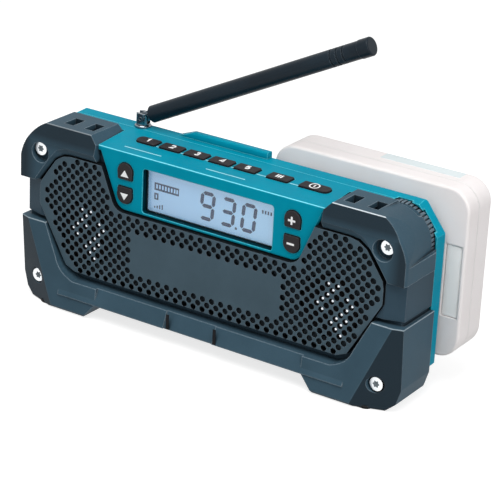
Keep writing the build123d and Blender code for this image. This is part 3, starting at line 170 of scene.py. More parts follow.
def moulded_surface_group():
    """Spark-eroded mould grain, broad cloudiness, the edges that hands and the ground rub, and painted shade.

    Grain is fine noise mixed with cell noise; Cloud is noise some centimetres long. Round gives the
    radius at which edges are eased. The edge mask is where the eased normal leaves the face normal,
    broken up by noise, so it is 1 on a well worn edge and 0 on a flat face; it stands for wear and for a
    painted highlight. Crevice goes from 0 in the open to 1 where other surfaces close in within three
    millimetres, and is the mask for painted shade.
    """
    group, given, out = new_group(
        "moulded_surface",
        [("Grain Scale", 2600.0), ("Round", 0.0006), ("Wear", 0.5)],
        [(name, "NodeSocketFloat") for name in ("Grain", "Cloud", "Scuff Sheen", "Crevice")]
        + [("Normal", "NodeSocketVector")],
    )
    link = group.links.new
    where = group.nodes.new("ShaderNodeTexCoord").outputs["Object"]
    fine = add_noise(group, where, given.outputs["Grain Scale"], 3.0, 0.6)
    cells = group.nodes.new("ShaderNodeTexVoronoi")
    link(where, cells.inputs["Vector"])
    link(given.outputs["Grain Scale"], cells.inputs["Scale"])
    softer = add_math(group, "MULTIPLY", fine, 0.6)
    grain = add_math(group, "MULTIPLY_ADD", cells.outputs["Distance"], 0.5, softer)
    cloud = add_noise(group, where, 38.0, 4.0, 0.55)
    eased = group.nodes.new("ShaderNodeBevel")
    eased.samples = 6
    link(given.outputs["Round"], eased.inputs["Radius"])
    face = group.nodes.new("ShaderNodeNewGeometry")
    dot = group.nodes.new("ShaderNodeVectorMath")
    dot.operation = "DOT_PRODUCT"
    link(eased.outputs["Normal"], dot.inputs[0])
    link(face.outputs["Normal"], dot.inputs[1])
    bend = add_math(group, "SUBTRACT", 1.0, dot.outputs["Value"])
    broken = add_noise(group, where, 420.0, 5.0, 0.7)
    patchy = spread(group, broken, 0.35, 1.0, 0.34, 0.6)
    amount = add_math(group, "MULTIPLY", add_math(group, "MULTIPLY", bend, 9.0), patchy)
    # edge mask for wear and for a painted highlight on eased edges
    scuff_sheen = group.nodes.new("ShaderNodeMath")
    scuff_sheen.operation = "MULTIPLY"
    scuff_sheen.use_clamp = True
    link(amount, scuff_sheen.inputs[0])
    link(given.outputs["Wear"], scuff_sheen.inputs[1])
    # Crevice mask from ambient occlusion within three millimetres; it drives the painted shade
    nearby = group.nodes.new("ShaderNodeAmbientOcclusion")
    nearby.samples = 8
    nearby.inputs["Distance"].default_value = 0.003
    link(falling(group, nearby.outputs["AO"], 0.25, 0.85), out.inputs["Crevice"])
    link(grain, out.inputs["Grain"])
    link(cloud, out.inputs["Cloud"])
    link(scuff_sheen.outputs[0], out.inputs["Scuff Sheen"])
    link(eased.outputs["Normal"], out.inputs["Normal"])
    return group


def dust_group():
    """Dust that settles on what faces up: the height part of the normal, broken up by noise."""
    group, given, out = new_group("settled_dust", [("Amount", 0.3)], [("Dust", "NodeSocketFloat")])
    link = group.links.new
    face = group.nodes.new("ShaderNodeNewGeometry")
    parts = group.nodes.new("ShaderNodeSeparateXYZ")
    link(face.outputs["Normal"], parts.inputs[0])
    where = group.nodes.new("ShaderNodeTexCoord").outputs["Object"]
    speckle = add_noise(group, where, 900.0, 6.0, 0.75)
    flecks = group.nodes.new("ShaderNodeMapRange")
    flecks.inputs["From Min"].default_value = 0.50
    flecks.inputs["From Max"].default_value = 0.78
    link(speckle, flecks.inputs["Value"])
    upward = group.nodes.new("ShaderNodeMapRange")
    upward.inputs["From Min"].default_value = 0.2
    upward.inputs["From Max"].default_value = 1.0
    link(parts.outputs["Z"], upward.inputs["Value"])
    settled = add_math(group, "MULTIPLY", flecks.outputs[0], upward.outputs[0])
    link(add_math(group, "MULTIPLY", settled, given.outputs["Amount"]), out.inputs["Dust"])
    return group


def fine_scratch_group():
    """Fine scratches: noise drawn out twelve times along X, and a broad smear for roughness."""
    group, given, out = new_group(
        "fine_scratches",
        [("Scale", 900.0)],
        [("Lines", "NodeSocketFloat"), ("Smear", "NodeSocketFloat")],
    )
    where = group.nodes.new("ShaderNodeTexCoord").outputs["Object"]
    drawn = group.nodes.new("ShaderNodeMapping")
    drawn.inputs["Scale"].default_value = (0.08, 1.0, 1.0)
    group.links.new(where, drawn.inputs["Vector"])
    lines = add_noise(group, drawn.outputs[0], given.outputs["Scale"], 3.0, 0.6)
    smear = add_noise(group, where, 150.0, 3.0, 0.6)
    group.links.new(lines, out.inputs["Lines"])
    group.links.new(smear, out.inputs["Smear"])
    return group


def edge_line_group():
    """1 within Reach of a line along X at the given Depth and Height, all in metres."""
    group, given, out = new_group(
        "edge_line",
        [("Depth", 0.0), ("Height", 0.1), ("Reach", 0.0006)],
        [("Line", "NodeSocketFloat")],
    )
    link = group.links.new
    flat = group.nodes.new("ShaderNodeVectorMath")
    flat.operation = "MULTIPLY"
    flat.inputs[1].default_value = (0, 1, 1)
    link(group.nodes.new("ShaderNodeTexCoord").outputs["Object"], flat.inputs[0])
    line = group.nodes.new("ShaderNodeCombineXYZ")
    link(given.outputs["Depth"], line.inputs["Y"])
    link(given.outputs["Height"], line.inputs["Z"])
    away = group.nodes.new("ShaderNodeVectorMath")
    away.operation = "DISTANCE"
    link(flat.outputs[0], away.inputs[0])
    link(line.outputs[0], away.inputs[1])
    share = add_math(group, "DIVIDE", away.outputs["Value"], given.outputs["Reach"])
    link(falling(group, share, 0.7, 1.0), out.inputs["Line"])
    return group


MOULDED = moulded_surface_group()
DUST = dust_group()
SCRATCHES = fine_scratch_group()
EDGE_LINE = edge_line_group()


DUST_GREY = (150, 154, 158)
SHADE_SHARE = 0.16  # how much of the deep colour is left in the painted shade where other surfaces close in


def new_material(name):
    """A node material with only a Principled BSDF and its output."""
    material = bpy.data.materials.new(name)
    material.use_nodes = True
    tree = material.node_tree
    tree.nodes.clear()
    shader = tree.nodes.new("ShaderNodeBsdfPrincipled")
    out = tree.nodes.new("ShaderNodeOutputMaterial")
    tree.links.new(shader.outputs[0], out.inputs["Surface"])
    return material, tree, shader


def place_group(tree, group, **values):
    """The group as a node of the material, with its own values."""
    node = tree.nodes.new("ShaderNodeGroup")
    node.node_tree = group
    for label, value in values.items():
        node.inputs[label.replace("_", " ").title()].default_value = value
    return node


def mix_colour(tree, share, first, second):
    """A blend of two colours, each a socket or a colour, by a socket's share."""
    node = tree.nodes.new("ShaderNodeMix")
    node.data_type = "RGBA"
    tree.links.new(share, node.inputs["Factor"])
    for label, value in (("A", first), ("B", second)):
        socket = next(s for s in node.inputs if s.name == label and s.type == "RGBA")
        if isinstance(value, tuple):
            socket.default_value = value
        else:
            tree.links.new(value, socket)
    return next(s for s in node.outputs if s.type == "RGBA")


def add_bump(tree, shader, height, normal, strength, distance):
    """A Bump node on height, over the eased normal, into the shader."""
    bump = tree.nodes.new("ShaderNodeBump")
    bump.inputs["Strength"].default_value = strength
    bump.inputs["Distance"].default_value = distance
    tree.links.new(height, bump.inputs["Height"])
    if normal is not None:
        tree.links.new(normal, bump.inputs["Normal"])
    tree.links.new(bump.outputs[0], shader.inputs["Normal"])


def fascia_arris_highlight(tree):
    """1 along the arris between the fascia and the sloping deck, where a highlight is painted."""
    return place_group(tree, EDGE_LINE, depth=2.6 * MM, height=104.2 * MM, reach=0.55 * MM).outputs["Line"]


def guard_arris_highlight(tree):
    """A painted highlight along the upper guards' top front arris, a third as strong on the left guard as on
    the right one.
    """
    line = place_group(tree, EDGE_LINE, depth=1.5 * MM, height=109.0 * MM, reach=0.5 * MM).outputs["Line"]
    place, _ = split_place(tree)
    return add_math(tree, "MULTIPLY", line, spread(tree, place.outputs["X"], 0.3, 1.0, -0.05, 0.05))


def split_place(tree):
    """Two nodes with X, Y and Z outputs: the object coordinates and the face normal."""
    place = tree.nodes.new("ShaderNodeSeparateXYZ")
    tree.links.new(tree.nodes.new("ShaderNodeTexCoord").outputs["Object"], place.inputs[0])
    facing = tree.nodes.new("ShaderNodeSeparateXYZ")
    tree.links.new(tree.nodes.new("ShaderNodeNewGeometry").outputs["Normal"], facing.inputs[0])
    return place, facing


LOWER_ARRIS_FOOT = 100.1  # half width between the lower guard's slanted arrises at the floor
LOWER_ARRIS_LEAN = 0.427


def guard_corner_shade(tree):
    """1 on the guards' outer front facets, painted darker as shade so that flat facets read as hollowed ones.

    On the upper guards it rises towards the leaning top and the outer side. On the lower guard it
    covers what lies outside the slanted arris. It is colour only: the guards are one rubber.
    """
    place, facing = split_place(tree)
    aside = add_math(tree, "ABSOLUTE", place.outputs["X"])
    height = place.outputs["Z"]
    upper = rising(tree, height, 60.0 * MM, 60.5 * MM)
    leaning = rising(tree, height, 94.0 * MM, 102.0 * MM)
    outer = rising(tree, aside, 115.0 * MM, 123.0 * MM)
    raised = add_math(tree, "MAXIMUM", leaning, outer)
    arris = add_math(tree, "MULTIPLY_ADD", height, LOWER_ARRIS_LEAN, LOWER_ARRIS_FOOT * MM)
    outside = rising(tree, add_math(tree, "SUBTRACT", aside, arris), 0.0, 0.4 * MM)
    low = add_math(tree, "MULTIPLY", outside, add_math(tree, "SUBTRACT", 1.0, upper))
    high = add_math(tree, "MULTIPLY", raised, upper)
    front = spread(tree, facing.outputs["Y"], 0.85, 0.0, -0.8, -0.4)
    return add_math(tree, "MULTIPLY", front, add_math(tree, "ADD", low, high))


def wheel_surround(tree):
    """1 on the moulding between the right guard and the tuning wheel."""
    place, _ = split_place(tree)
    right = rising(tree, place.outputs["X"], 98.0 * MM, 98.2 * MM)
    ahead = falling(tree, place.outputs["Y"], 30.5 * MM, 30.7 * MM)
    return add_math(tree, "MULTIPLY", right, ahead)


def display_recess_shade(tree):
    """1 on the walls of the recess round the display, behind the fascia's front, where shade is painted."""
    place, _ = split_place(tree)
    aside = add_math(tree, "ABSOLUTE", place.outputs["X"])
    behind = rising(tree, place.outputs["Y"], 3.0 * MM, 3.4 * MM)
    ahead = falling(tree, place.outputs["Y"], 12.0 * MM, 12.2 * MM)
    middle = falling(tree, aside, 47.0 * MM, 47.2 * MM)
    below = falling(tree, place.outputs["Z"], 100.0 * MM, 100.4 * MM)
    deep = add_math(tree, "MULTIPLY", behind, ahead)
    return add_math(tree, "MULTIPLY", deep, add_math(tree, "MULTIPLY", middle, below))


def hole_wall_shade(tree):
    """1 on walls that run into the depth, such as those of the grille's holes, where shade is painted."""
    _, facing = split_place(tree)
    return falling(tree, add_math(tree, "ABSOLUTE", facing.outputs["Y"]), 0.5, 0.7)


def lower_guard_rim_highlight(tree):
    """1 on the last half millimetre under the lower guard's upper edge, where a highlight is painted."""
    place, facing = split_place(tree)
    near = rising(tree, place.outputs["Z"], 49.3 * MM, 49.5 * MM)
    below = falling(tree, place.outputs["Z"], 50.1 * MM, 50.3 * MM)
    upright = falling(tree, facing.outputs["Z"], 0.5, 0.7)
    return add_math(tree, "MULTIPLY", add_math(tree, "MULTIPLY", near, below), upright)


def moulding(
    name, deep, pale, scuff_sheen, rough, grain, bump, ease, wear, dust=0.2, specular=0.12, crevice_shade=0.85, layers=()
):
    """Moulded plastic or rubber: colour wanders from deep to pale, and edges lighten as wear and as a
    painted highlight.

    Each layer, a mask function and a colour, lies over that; several layers paint shade and highlights.
    Dust lies on top, and a share from 0 to 1 of painted shade darkens what is closed in.
    """
    material, tree, shader = new_material(name)
    surface = place_group(tree, MOULDED, grain_scale=grain, round=ease, wear=wear)
    settled = place_group(tree, DUST, amount=dust)
    body = mix_colour(tree, rising(tree, surface.outputs["Cloud"], 0.3, 0.7), paint(*deep), paint(*pale))
    # edges lighten as wear and as a painted highlight
    edged = mix_colour(tree, surface.outputs["Scuff Sheen"], body, paint(*scuff_sheen))
    for mask, colour in layers:
        edged = mix_colour(tree, mask(tree), edged, paint(*colour))
    dusted = mix_colour(tree, settled.outputs["Dust"], edged, paint(*DUST_GREY))
    # painted shade: where other surfaces close in, the colour goes towards a dark share of the deep colour
    closed_in = add_math(tree, "MULTIPLY", surface.outputs["Crevice"], crevice_shade)
    deep_shade = paint(*[part * SHADE_SHARE for part in deep])
    tree.links.new(mix_colour(tree, closed_in, dusted, deep_shade), shader.inputs["Base Color"])
    rough_wander = spread(tree, surface.outputs["Cloud"], rough - 0.05, rough + 0.06)
    duller = add_math(tree, "MULTIPLY_ADD", settled.outputs["Dust"], 0.3, rough_wander)
    tree.links.new(duller, shader.inputs["Roughness"])
    shader.inputs["Specular IOR Level"].default_value = specular
    add_bump(tree, shader, surface.outputs["Grain"], surface.outputs["Normal"], bump, 0.0002)
    return material


def metal(name, bright, dull, rough, scale, bump, ease=0.0003):
    """Plated or turned metal with fine scratches and a smear in its gloss."""
    material, tree, shader = new_material(name)
    marks = place_group(tree, SCRATCHES, scale=scale)
    surface = place_group(tree, MOULDED, grain_scale=3000.0, round=ease, wear=0.0)
    tone = mix_colour(tree, rising(tree, marks.outputs["Smear"], 0.3, 0.7), paint(*bright), paint(*dull))
    tree.links.new(tone, shader.inputs["Base Color"])
    tree.links.new(spread(tree, marks.outputs["Smear"], rough * 0.7, rough * 1.5), shader.inputs["Roughness"])
    shader.inputs["Metallic"].default_value = 1.0
    add_bump(tree, shader, marks.outputs["Lines"], surface.outputs["Normal"], bump, 0.00005)
    return material


def clear_window():
    """Clear acrylic with the faintest smear on it."""
    material, tree, shader = new_material("clear_acrylic")
    marks = place_group(tree, SCRATCHES, scale=500.0)
    shader.inputs["Base Color"].default_value = (0.97, 0.99, 1.0, 1.0)
    tree.links.new(spread(tree, marks.outputs["Smear"], 0.015, 0.05), shader.inputs["Roughness"])
    shader.inputs["IOR"].default_value = 1.47
    shader.inputs["Transmission Weight"].default_value = 1.0
    return material


def lit_display():
    """The display's lit field: pale blue, brighter towards the right, with faint cells and a soft glow."""
    material, tree, shader = new_material("lit_display_field")
    where = tree.nodes.new("ShaderNodeTexCoord").outputs["Object"]
    parts = tree.nodes.new("ShaderNodeSeparateXYZ")
    tree.links.new(where, parts.inputs[0])
    slide = rising(tree, parts.outputs["X"], -42.0 * MM, 43.0 * MM)
    field = mix_colour(tree, slide, paint(148, 186, 220), paint(158, 198, 228))
    cells = tree.nodes.new("ShaderNodeTexWave")
    cells.inputs["Scale"].default_value = 700.0
    cells.inputs["Distortion"].default_value = 0.0
    tree.links.new(where, cells.inputs["Vector"])
    faint = spread(tree, cells.outputs["Fac"], 0.0, 0.05, 0.0, 1.0)
    tone = mix_colour(tree, faint, field, paint(136, 168, 204))
    tree.links.new(tone, shader.inputs["Base Color"])
    tree.links.new(tone, shader.inputs["Emission Color"])
    shader.inputs["Emission Strength"].default_value = 0.2
    tree.links.new(spread(tree, cells.outputs["Fac"], 0.35, 0.45, 0.0, 1.0), shader.inputs["Roughness"])
    return material


FINISHES = {
    "housing_teal": moulding(
        "teal_moulding", deep=(0, 138, 165), pale=(0, 148, 174), scuff_sheen=(96, 216, 232), rough=0.36,
        grain=2400.0, bump=0.12, ease=0.0009, wear=0.55, dust=0.04, specular=0.03,
        layers=[
            # painted highlight along the deck's front arris
            (fascia_arris_highlight, (132, 232, 250)),
            (wheel_surround, (54, 78, 92)),
            # painted shade on the display recess walls
            (display_recess_shade, (0, 44, 56)),
        ],
    ),
    "housing_black": moulding(
        "dark_slate_moulding", deep=(44, 64, 77), pale=(52, 73, 87), scuff_sheen=(110, 124, 136), rough=0.5,
        grain=2200.0, bump=0.2, ease=0.0006, wear=0.5, dust=0.1,
    ),
    "guard_slate": moulding(
        "slate_elastomer", deep=(49, 73, 87), pale=(58, 83, 98), scuff_sheen=(128, 146, 158), rough=0.52,
        grain=1900.0, bump=0.34, ease=0.0010, wear=0.7, dust=0.12,
        layers=[
            # painted shade on the guards' outer front facets
            (guard_corner_shade, (22, 33, 41)),
            # painted highlight under the lower guard's upper edge
            (lower_guard_rim_highlight, (150, 166, 176)),
            # painted highlight along the upper guards' top front arris
            (guard_arris_highlight, (216, 226, 234)),
        ],
    ),
    "pad_rubber": moulding(
        "sole_rubber", deep=(28, 29, 31), pale=(38, 39, 41), scuff_sheen=(80, 82, 84), rough=0.75, grain=1500.0,
        bump=0.5, ease=0.0006, wear=0.5, dust=0.1,
    ),
    "grille_slate": moulding(
        "slate_grille", deep=(62, 81, 92), pale=(70, 90, 102), scuff_sheen=(120, 134, 146), rough=0.5,
        grain=1900.0, bump=0.3, ease=0.0005, wear=0.6, dust=0.08,
        layers=[
            # painted shade on the walls of the grille's holes
            (hole_wall_shade, (8, 12, 16)),
        ],
    ),
    "speaker_steel": metal(
        "pressed_steel", bright=(150, 152, 155), dull=(120, 122, 126), rough=0.35, scale=700.0, bump=0.3,
    ),
    "cone_black": moulding(
        "cone_paper", deep=(24, 24, 26), pale=(38, 38, 41), scuff_sheen=(60, 60, 63), rough=0.8, grain=1200.0,
        bump=0.6, ease=0.0002, wear=0.2, dust=0.2,
    ),
    "cap_silver": metal(
        "silvered_cap", bright=(236, 239, 243), dull=(214, 219, 226), rough=0.16, scale=900.0, bump=0.2,
    ),
    "bezel_dark": moulding(
        "bezel_gloss", deep=(6, 24, 30), pale=(10, 32, 39), scuff_sheen=(60, 92, 102), rough=0.25, grain=2400.0,
        bump=0.05, ease=0.0004, wear=0.4, dust=0.0,
    ),
    "lens_clear": clear_window(),
    "panel_grey": lit_display(),
    "backlight_white": moulding(
        "light_guide", deep=(214, 220, 228), pale=(226, 231, 238), scuff_sheen=(235, 238, 242), rough=0.4,
        grain=2000.0, bump=0.1, ease=0.0003, wear=0.1, dust=0.0, crevice_shade=0.0,
    ),
    "board_green": moulding(
        "board_laminate", deep=(14, 82, 52), pale=(22, 98, 62), scuff_sheen=(60, 120, 88), rough=0.4,
        grain=1600.0, bump=0.2, ease=0.0002, wear=0.2, dust=0.1,
    ),
    "wheel_dark": moulding(
        "wheel_rubber", deep=(84, 102, 114), pale=(96, 114, 126), scuff_sheen=(160, 172, 182), rough=0.5,
        grain=2000.0, bump=0.2, ease=0.0003, wear=0.9, dust=0.1, crevice_shade=0.7,
    ),
    "key_dark": moulding(
        "key_rubber", deep=(38, 36, 38), pale=(48, 45, 47), scuff_sheen=(104, 102, 106), rough=0.55,
        grain=2300.0, bump=0.25, ease=0.0006, wear=0.6, dust=0.1, crevice_shade=0.9,
    ),
    "bright_chrome": metal(
        "bright_chrome", bright=(150, 158, 164), dull=(112, 120, 126), rough=0.12, scale=1200.0, bump=0.08,
    ),
    "screw_steel": metal(
        "zinc_plate", bright=(246, 249, 251), dull=(222, 227, 231), rough=0.3, scale=1500.0, bump=0.3,
    ),
    "antenna_dark": moulding(
        "antenna_sleeve", deep=(14, 25, 34), pale=(20, 34, 44), scuff_sheen=(84, 98, 110), rough=0.34,
        grain=2400.0, bump=0.12, ease=0.0005, wear=0.4, dust=0.04, specular=0.15,
    ),
    "pack_pale": moulding(
        "pale_pack", deep=(238, 233, 233), pale=(243, 239, 240), scuff_sheen=(250, 250, 250), rough=0.42,
        grain=2200.0, bump=0.15, ease=0.0012, wear=0.5, dust=0.0, crevice_shade=0.0,
    ),
    "cell_sleeve": moulding(
        "cell_sleeve", deep=(40, 92, 120), pale=(48, 104, 134), scuff_sheen=(90, 140, 164), rough=0.4,
        grain=2000.0, bump=0.1, ease=0.0003, wear=0.2, dust=0.0,
    ),
    "contact_brass": metal(
        "contact_brass", bright=(214, 180, 104), dull=(188, 152, 84), rough=0.3, scale=900.0, bump=0.3,
    ),
}
SIGN_WHITE = moulding(
    "printed_white", deep=(240, 243, 245), pale=(248, 250, 251), scuff_sheen=(252, 253, 253), rough=0.5,
    grain=3000.0, bump=0.1, ease=0.0001, wear=0.2, dust=0.0, crevice_shade=0.0,
)
PRINT_LIGHT = moulding(
    "printed_line", deep=(150, 222, 234), pale=(166, 230, 240), scuff_sheen=(210, 244, 248), rough=0.45,
    grain=3000.0, bump=0.1, ease=0.0001, wear=0.2, dust=0.0, crevice_shade=0.0,
)
DIGIT_INK = moulding(
    "display_ink", deep=(40, 62, 96), pale=(48, 70, 104), scuff_sheen=(64, 78, 108), rough=0.7, grain=3000.0,
    bump=0.05, ease=0.00005, wear=0.0, dust=0.0, specular=0.0, crevice_shade=0.0,
)
RECESS_SHADE = moulding(
    "recess_shade", deep=(96, 106, 112), pale=(126, 136, 142), scuff_sheen=(170, 178, 182), rough=0.45,
    grain=2600.0, bump=0.3, ease=0.0002, wear=0.6, dust=0.0, crevice_shade=0.5,
)
LABEL_PALE = moulding(
    "pale_label", deep=(214, 226, 230), pale=(224, 234, 237), scuff_sheen=(240, 245, 246), rough=0.3,
    grain=2400.0, bump=0.08, ease=0.0003, wear=0.3, dust=0.0, crevice_shade=0.0,
)
# floor behind the grille's holes: darker than the grille's slate as painted shade, and full painted shade
# where closed in
FLOOR_SLATE = moulding(
    "slate_floor", deep=(54, 68, 78), pale=(62, 76, 86), scuff_sheen=(110, 120, 130), rough=0.6, grain=1900.0,
    bump=0.3, ease=0.0003, wear=0.3, dust=0.0, crevice_shade=1.0,
)
# painted shade for the grooves at the tab's ends
GROOVE_SHADE = moulding(
    "groove_shade", deep=(14, 14, 18), pale=(20, 20, 24), scuff_sheen=(40, 44, 50), rough=0.6, grain=1900.0,
    bump=0.3, ease=0.0002, wear=0.2, dust=0.0,
)
LATCH_WHITE = moulding(
    "latch_white", deep=(248, 247, 246), pale=(252, 251, 250), scuff_sheen=(253, 253, 253), rough=0.4,
    grain=2200.0, bump=0.1, ease=0.0008, wear=0.3, dust=0.0, crevice_shade=0.0,
)


def dress_frame():
    """Each carried-over node gets the finish of its packed slot, and the latch a whiter one."""
    for node in nodes.values():
        for place in node.material_slots:
            place.material = FINISHES[place.material.name]
    for place in nodes["battery_latch"].material_slots:
        place.material = LATCH_WHITE


# ---- pieces built here --------------------------------------------------------------------


class Face:
    """A drawing plane in millimetres.

    A point (a, b) and a height stand for origin + a across + b up + height out.
    """

    def __init__(self, origin, across, up):
        self.origin = np.array(origin, float)
        self.across = np.array(across, float)
        self.up = np.array(up, float)
        self.out = np.cross(self.across, self.up)

    def lift(self, flat, height):
        """Points (n, 2) with a height, one number or n of them, as (n, 3) places in metres."""
        flat = np.asarray(flat, float)
        height = np.broadcast_to(np.asarray(height, float), flat.shape[:1])
        place = self.origin + flat[:, :1] * self.across + flat[:, 1:] * self.up + height[:, None] * self.out
        return place * MM


def joined(parts):
    """Several (points, faces) lists as one list each."""
    points, faces, count = [], [], 0
    for some, own in parts:
        points.append(some)
        faces += [tuple(i + count for i in face) for face in own]
        count += len(some)
    return np.concatenate(points), faces


def make_piece(name, points, faces, material, body, slot_name, smooth=False):
    """A mesh object at the origin that rides on body with the given material; slot_name is not used."""
    mesh = bpy.data.meshes.new(name)
    mesh.from_pydata(points.tolist(), [], faces)
    mesh.polygons.foreach_set("use_smooth", [smooth] * len(mesh.polygons))
    mesh.materials.append(material)
    mesh.update()
    piece = bpy.data.objects.new(name, mesh)
    bpy.context.scene.collection.objects.link(piece)
    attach(piece, body)
    return piece


def plate(face, outline, low, high, edge=0.0):
    """A closed plate between heights low and high over a counter-clockwise outline.

    Its upper rim is drawn in by edge along the corners' bisectors, which eases it.
    """
    outline = np.asarray(outline, float)
    count = len(outline)
    rings = [face.lift(outline, low), face.lift(outline, high - edge)]
    if edge:
        rings.append(face.lift(drawn_in(outline, edge), high))
    points = np.concatenate(rings)
    faces = [tuple(range(count - 1, -1, -1))]
    for ring in range(len(rings) - 1):
        start = ring * count
        for i in range(count):
            j = (i + 1) % count
            faces.append((start + i, start + j, start + count + j, start + count + i))
    faces.append(tuple(range(len(points) - count, len(points))))
    return points, faces


def drawn_in(outline, amount):
    """The outline moved inwards by amount along each corner's bisector."""
    before = outline - np.roll(outline, 1, axis=0)
    after = np.roll(outline, -1, axis=0) - outline
    before /= np.linalg.norm(before, axis=1)[:, None]
    after /= np.linalg.norm(after, axis=1)[:, None]
    inward = np.stack([-(before + after)[:, 1], (before + after)[:, 0]], axis=1)
    inward /= np.linalg.norm(inward, axis=1)[:, None]
    cross_side = -before[:, 1] * inward[:, 0] + before[:, 0] * inward[:, 1]
    return outline + inward * (amount / np.maximum(cross_side, 0.4))[:, None]


def stroke(face, path, width, low, high, closed=False):
    """A flat bar of the given width carried along a path, with mitred corners.

    The section is a rectangle: its corners lie half the width left and right of the path, at heights
    low and high. Open ends are capped.
    """
    path = np.asarray(path, float)
    count = len(path)
    ahead = np.roll(path, -1, axis=0) - path
    behind = path - np.roll(path, 1, axis=0)
    if not closed:
        ahead[-1] = behind[-1]
        behind[0] = ahead[0]
    ahead /= np.linalg.norm(ahead, axis=1)[:, None]
    behind /= np.linalg.norm(behind, axis=1)[:, None]
    side = np.stack([-(ahead + behind)[:, 1], (ahead + behind)[:, 0]], axis=1)
    side /= np.linalg.norm(side, axis=1)[:, None]
    straight = np.abs(-ahead[:, 1] * side[:, 0] + ahead[:, 0] * side[:, 1])
    side *= (width / 2 / np.maximum(straight, 0.5))[:, None]
    rings = [
        face.lift(path + side, low),
        face.lift(path + side, high),
        face.lift(path - side, high),
        face.lift(path - side, low),
    ]
    points = np.stack(rings, axis=1).reshape(-1, 3)
    faces = []
    for i in range(count if closed else count - 1):
        j = (i + 1) % count
        for k in range(4):
            m = (k + 1) % 4
            faces.append((4 * i + k, 4 * i + m, 4 * j + m, 4 * j + k))
    if not closed:
        faces.append((0, 3, 2, 1))
        last = 4 * (count - 1)
        faces.append((last, last + 1, last + 2, last + 3))
    return points, faces


def arc(middle, radius, start, stop, count=25):
    """Points on a circle from start to stop, in degrees counter-clockwise."""
    angle = np.radians(np.linspace(start, stop, count))
    return np.stack([middle[0] + radius * np.cos(angle), middle[1] + radius * np.sin(angle)], axis=1)


def turned(face, profile, middle, sides=48):
    """A profile of (radius, height) turned round a middle on a face; radius 0 closes a pole."""
    angle = np.linspace(0, 2 * math.pi, sides, endpoint=False)
    points, starts, count = [], [], 0
    for radius, height in profile:
        starts.append(count)
        if radius == 0:
            points.append(face.lift([middle], height))
            count += 1
        else:
            ring = np.stack([middle[0] + radius * np.cos(angle), middle[1] + radius * np.sin(angle)], axis=1)
            points.append(face.lift(ring, height))
            count += sides
    faces = []
    for (ra, _), (rb, _), a, b in zip(profile, profile[1:], starts, starts[1:]):
        for i in range(sides):
            j = (i + 1) % sides
            if ra == 0:
                faces.append((a, b + j, b + i))
            elif rb == 0:
                faces.append((a + i, a + j, b))
            else:
                faces.append((a + i, a + j, b + j, b + i))
    return np.concatenate(points), faces


FRONT_ACROSS = (1, 0, 0)
FRONT_UP = (0, 0, 1)
DECK_SLOPE = math.atan2(3.0, 35.0)
DECK_UP = (0, math.cos(DECK_SLOPE), math.sin(DECK_SLOPE))


def front_face(depth, x=0.0, z=0.0):
    """A drawing plane that faces the front at a depth."""
    return Face((x, depth, z), FRONT_ACROSS, FRONT_UP)


def deck_face(x, y):
    """A drawing plane on the sloping deck at (x, y)."""
    return Face((x, y, 104.2 + (y - 2.6) * math.tan(DECK_SLOPE)), FRONT_ACROSS, DECK_UP)


def lay_floor():
    """A pale floor that keeps soft shadows.

    Its glow is seen by camera, glossy and transmission rays only, so it adds no diffuse light.
    """
    reach = 6.0
    mesh = bpy.data.meshes.new("floor")
    corners = [(x, y, 0) for x, y in block(-reach, -reach, reach, reach)]
    mesh.from_pydata(corners, [], [(0, 1, 2, 3)])
    floor = bpy.data.objects.new("floor", mesh)
    bpy.context.scene.collection.objects.link(floor)
    material, tree, shader = new_material("white_floor")
    where = tree.nodes.new("ShaderNodeTexCoord").outputs["Object"]
    tint = mix_colour(tree, add_noise(tree, where, 6.0, 2.0), paint(181, 181, 181), paint(186, 186, 186))
    tree.links.new(tint, shader.inputs["Base Color"])
    shader.inputs["Roughness"].default_value = 0.9
    shader.inputs["Specular IOR Level"].default_value = 0.1
    shader.inputs["Emission Color"].default_value = (1, 1, 1, 1)
    tree.links.new(seen_strength(tree, 0.0, 0.75), shader.inputs["Emission Strength"])
    mesh.materials.append(material)


# ---- signs on the keys --------------------------------------------------------------------

NUMERALS = {
    1: [np.array([(-0.45, 0.55), (0.15, 1.0), (0.15, -1.0)])],
    2: [np.concatenate([arc((0, 0.38), 0.60, 165, -35, 15), [(-0.62, -0.94), (0.66, -0.94)]])],
    3: [np.concatenate([arc((0, 0.48), 0.50, 150, -80, 14), arc((0, -0.45), 0.58, 85, -150, 16)])],
    4: [np.array([(0.30, -1.0), (0.30, 1.0), (-0.62, -0.42), (0.72, -0.42)])],
    5: [
        np.concatenate(
            [[(0.52, 0.94), (-0.42, 0.94), (-0.50, 0.10)], arc((-0.02, -0.36), 0.60, 118, -145, 18)]
        )
    ],
}
KEY_TOP = 1.1  # above the deck
SIGN_LOW, SIGN_HIGH = 0.0, 0.06
KEY_ROW = 20.8  # depth of the deck keys' middle line
FIRST_KEY, KEY_STEP = -53.5, 16.7


def deck_stroke(top, path, width, closed=False):
    """A stroke that lies on top of a deck key."""
    return stroke(top, path, width, KEY_TOP + SIGN_LOW, KEY_TOP + SIGN_HIGH, closed)


def sign_presets():
    """Plain numerals 1 to 5 on the preset keys."""
    for number, strokes in NUMERALS.items():
        middle = FIRST_KEY + KEY_STEP * (number - 1)
        top = deck_face(middle + 0.3, KEY_ROW)
        parts = [deck_stroke(top, path * (1.9, 1.7), 1.0) for path in strokes]
        make_piece(f"numeral_{number}", *joined(parts), SIGN_WHITE, f"preset_key_{number}_body", "key_dark")


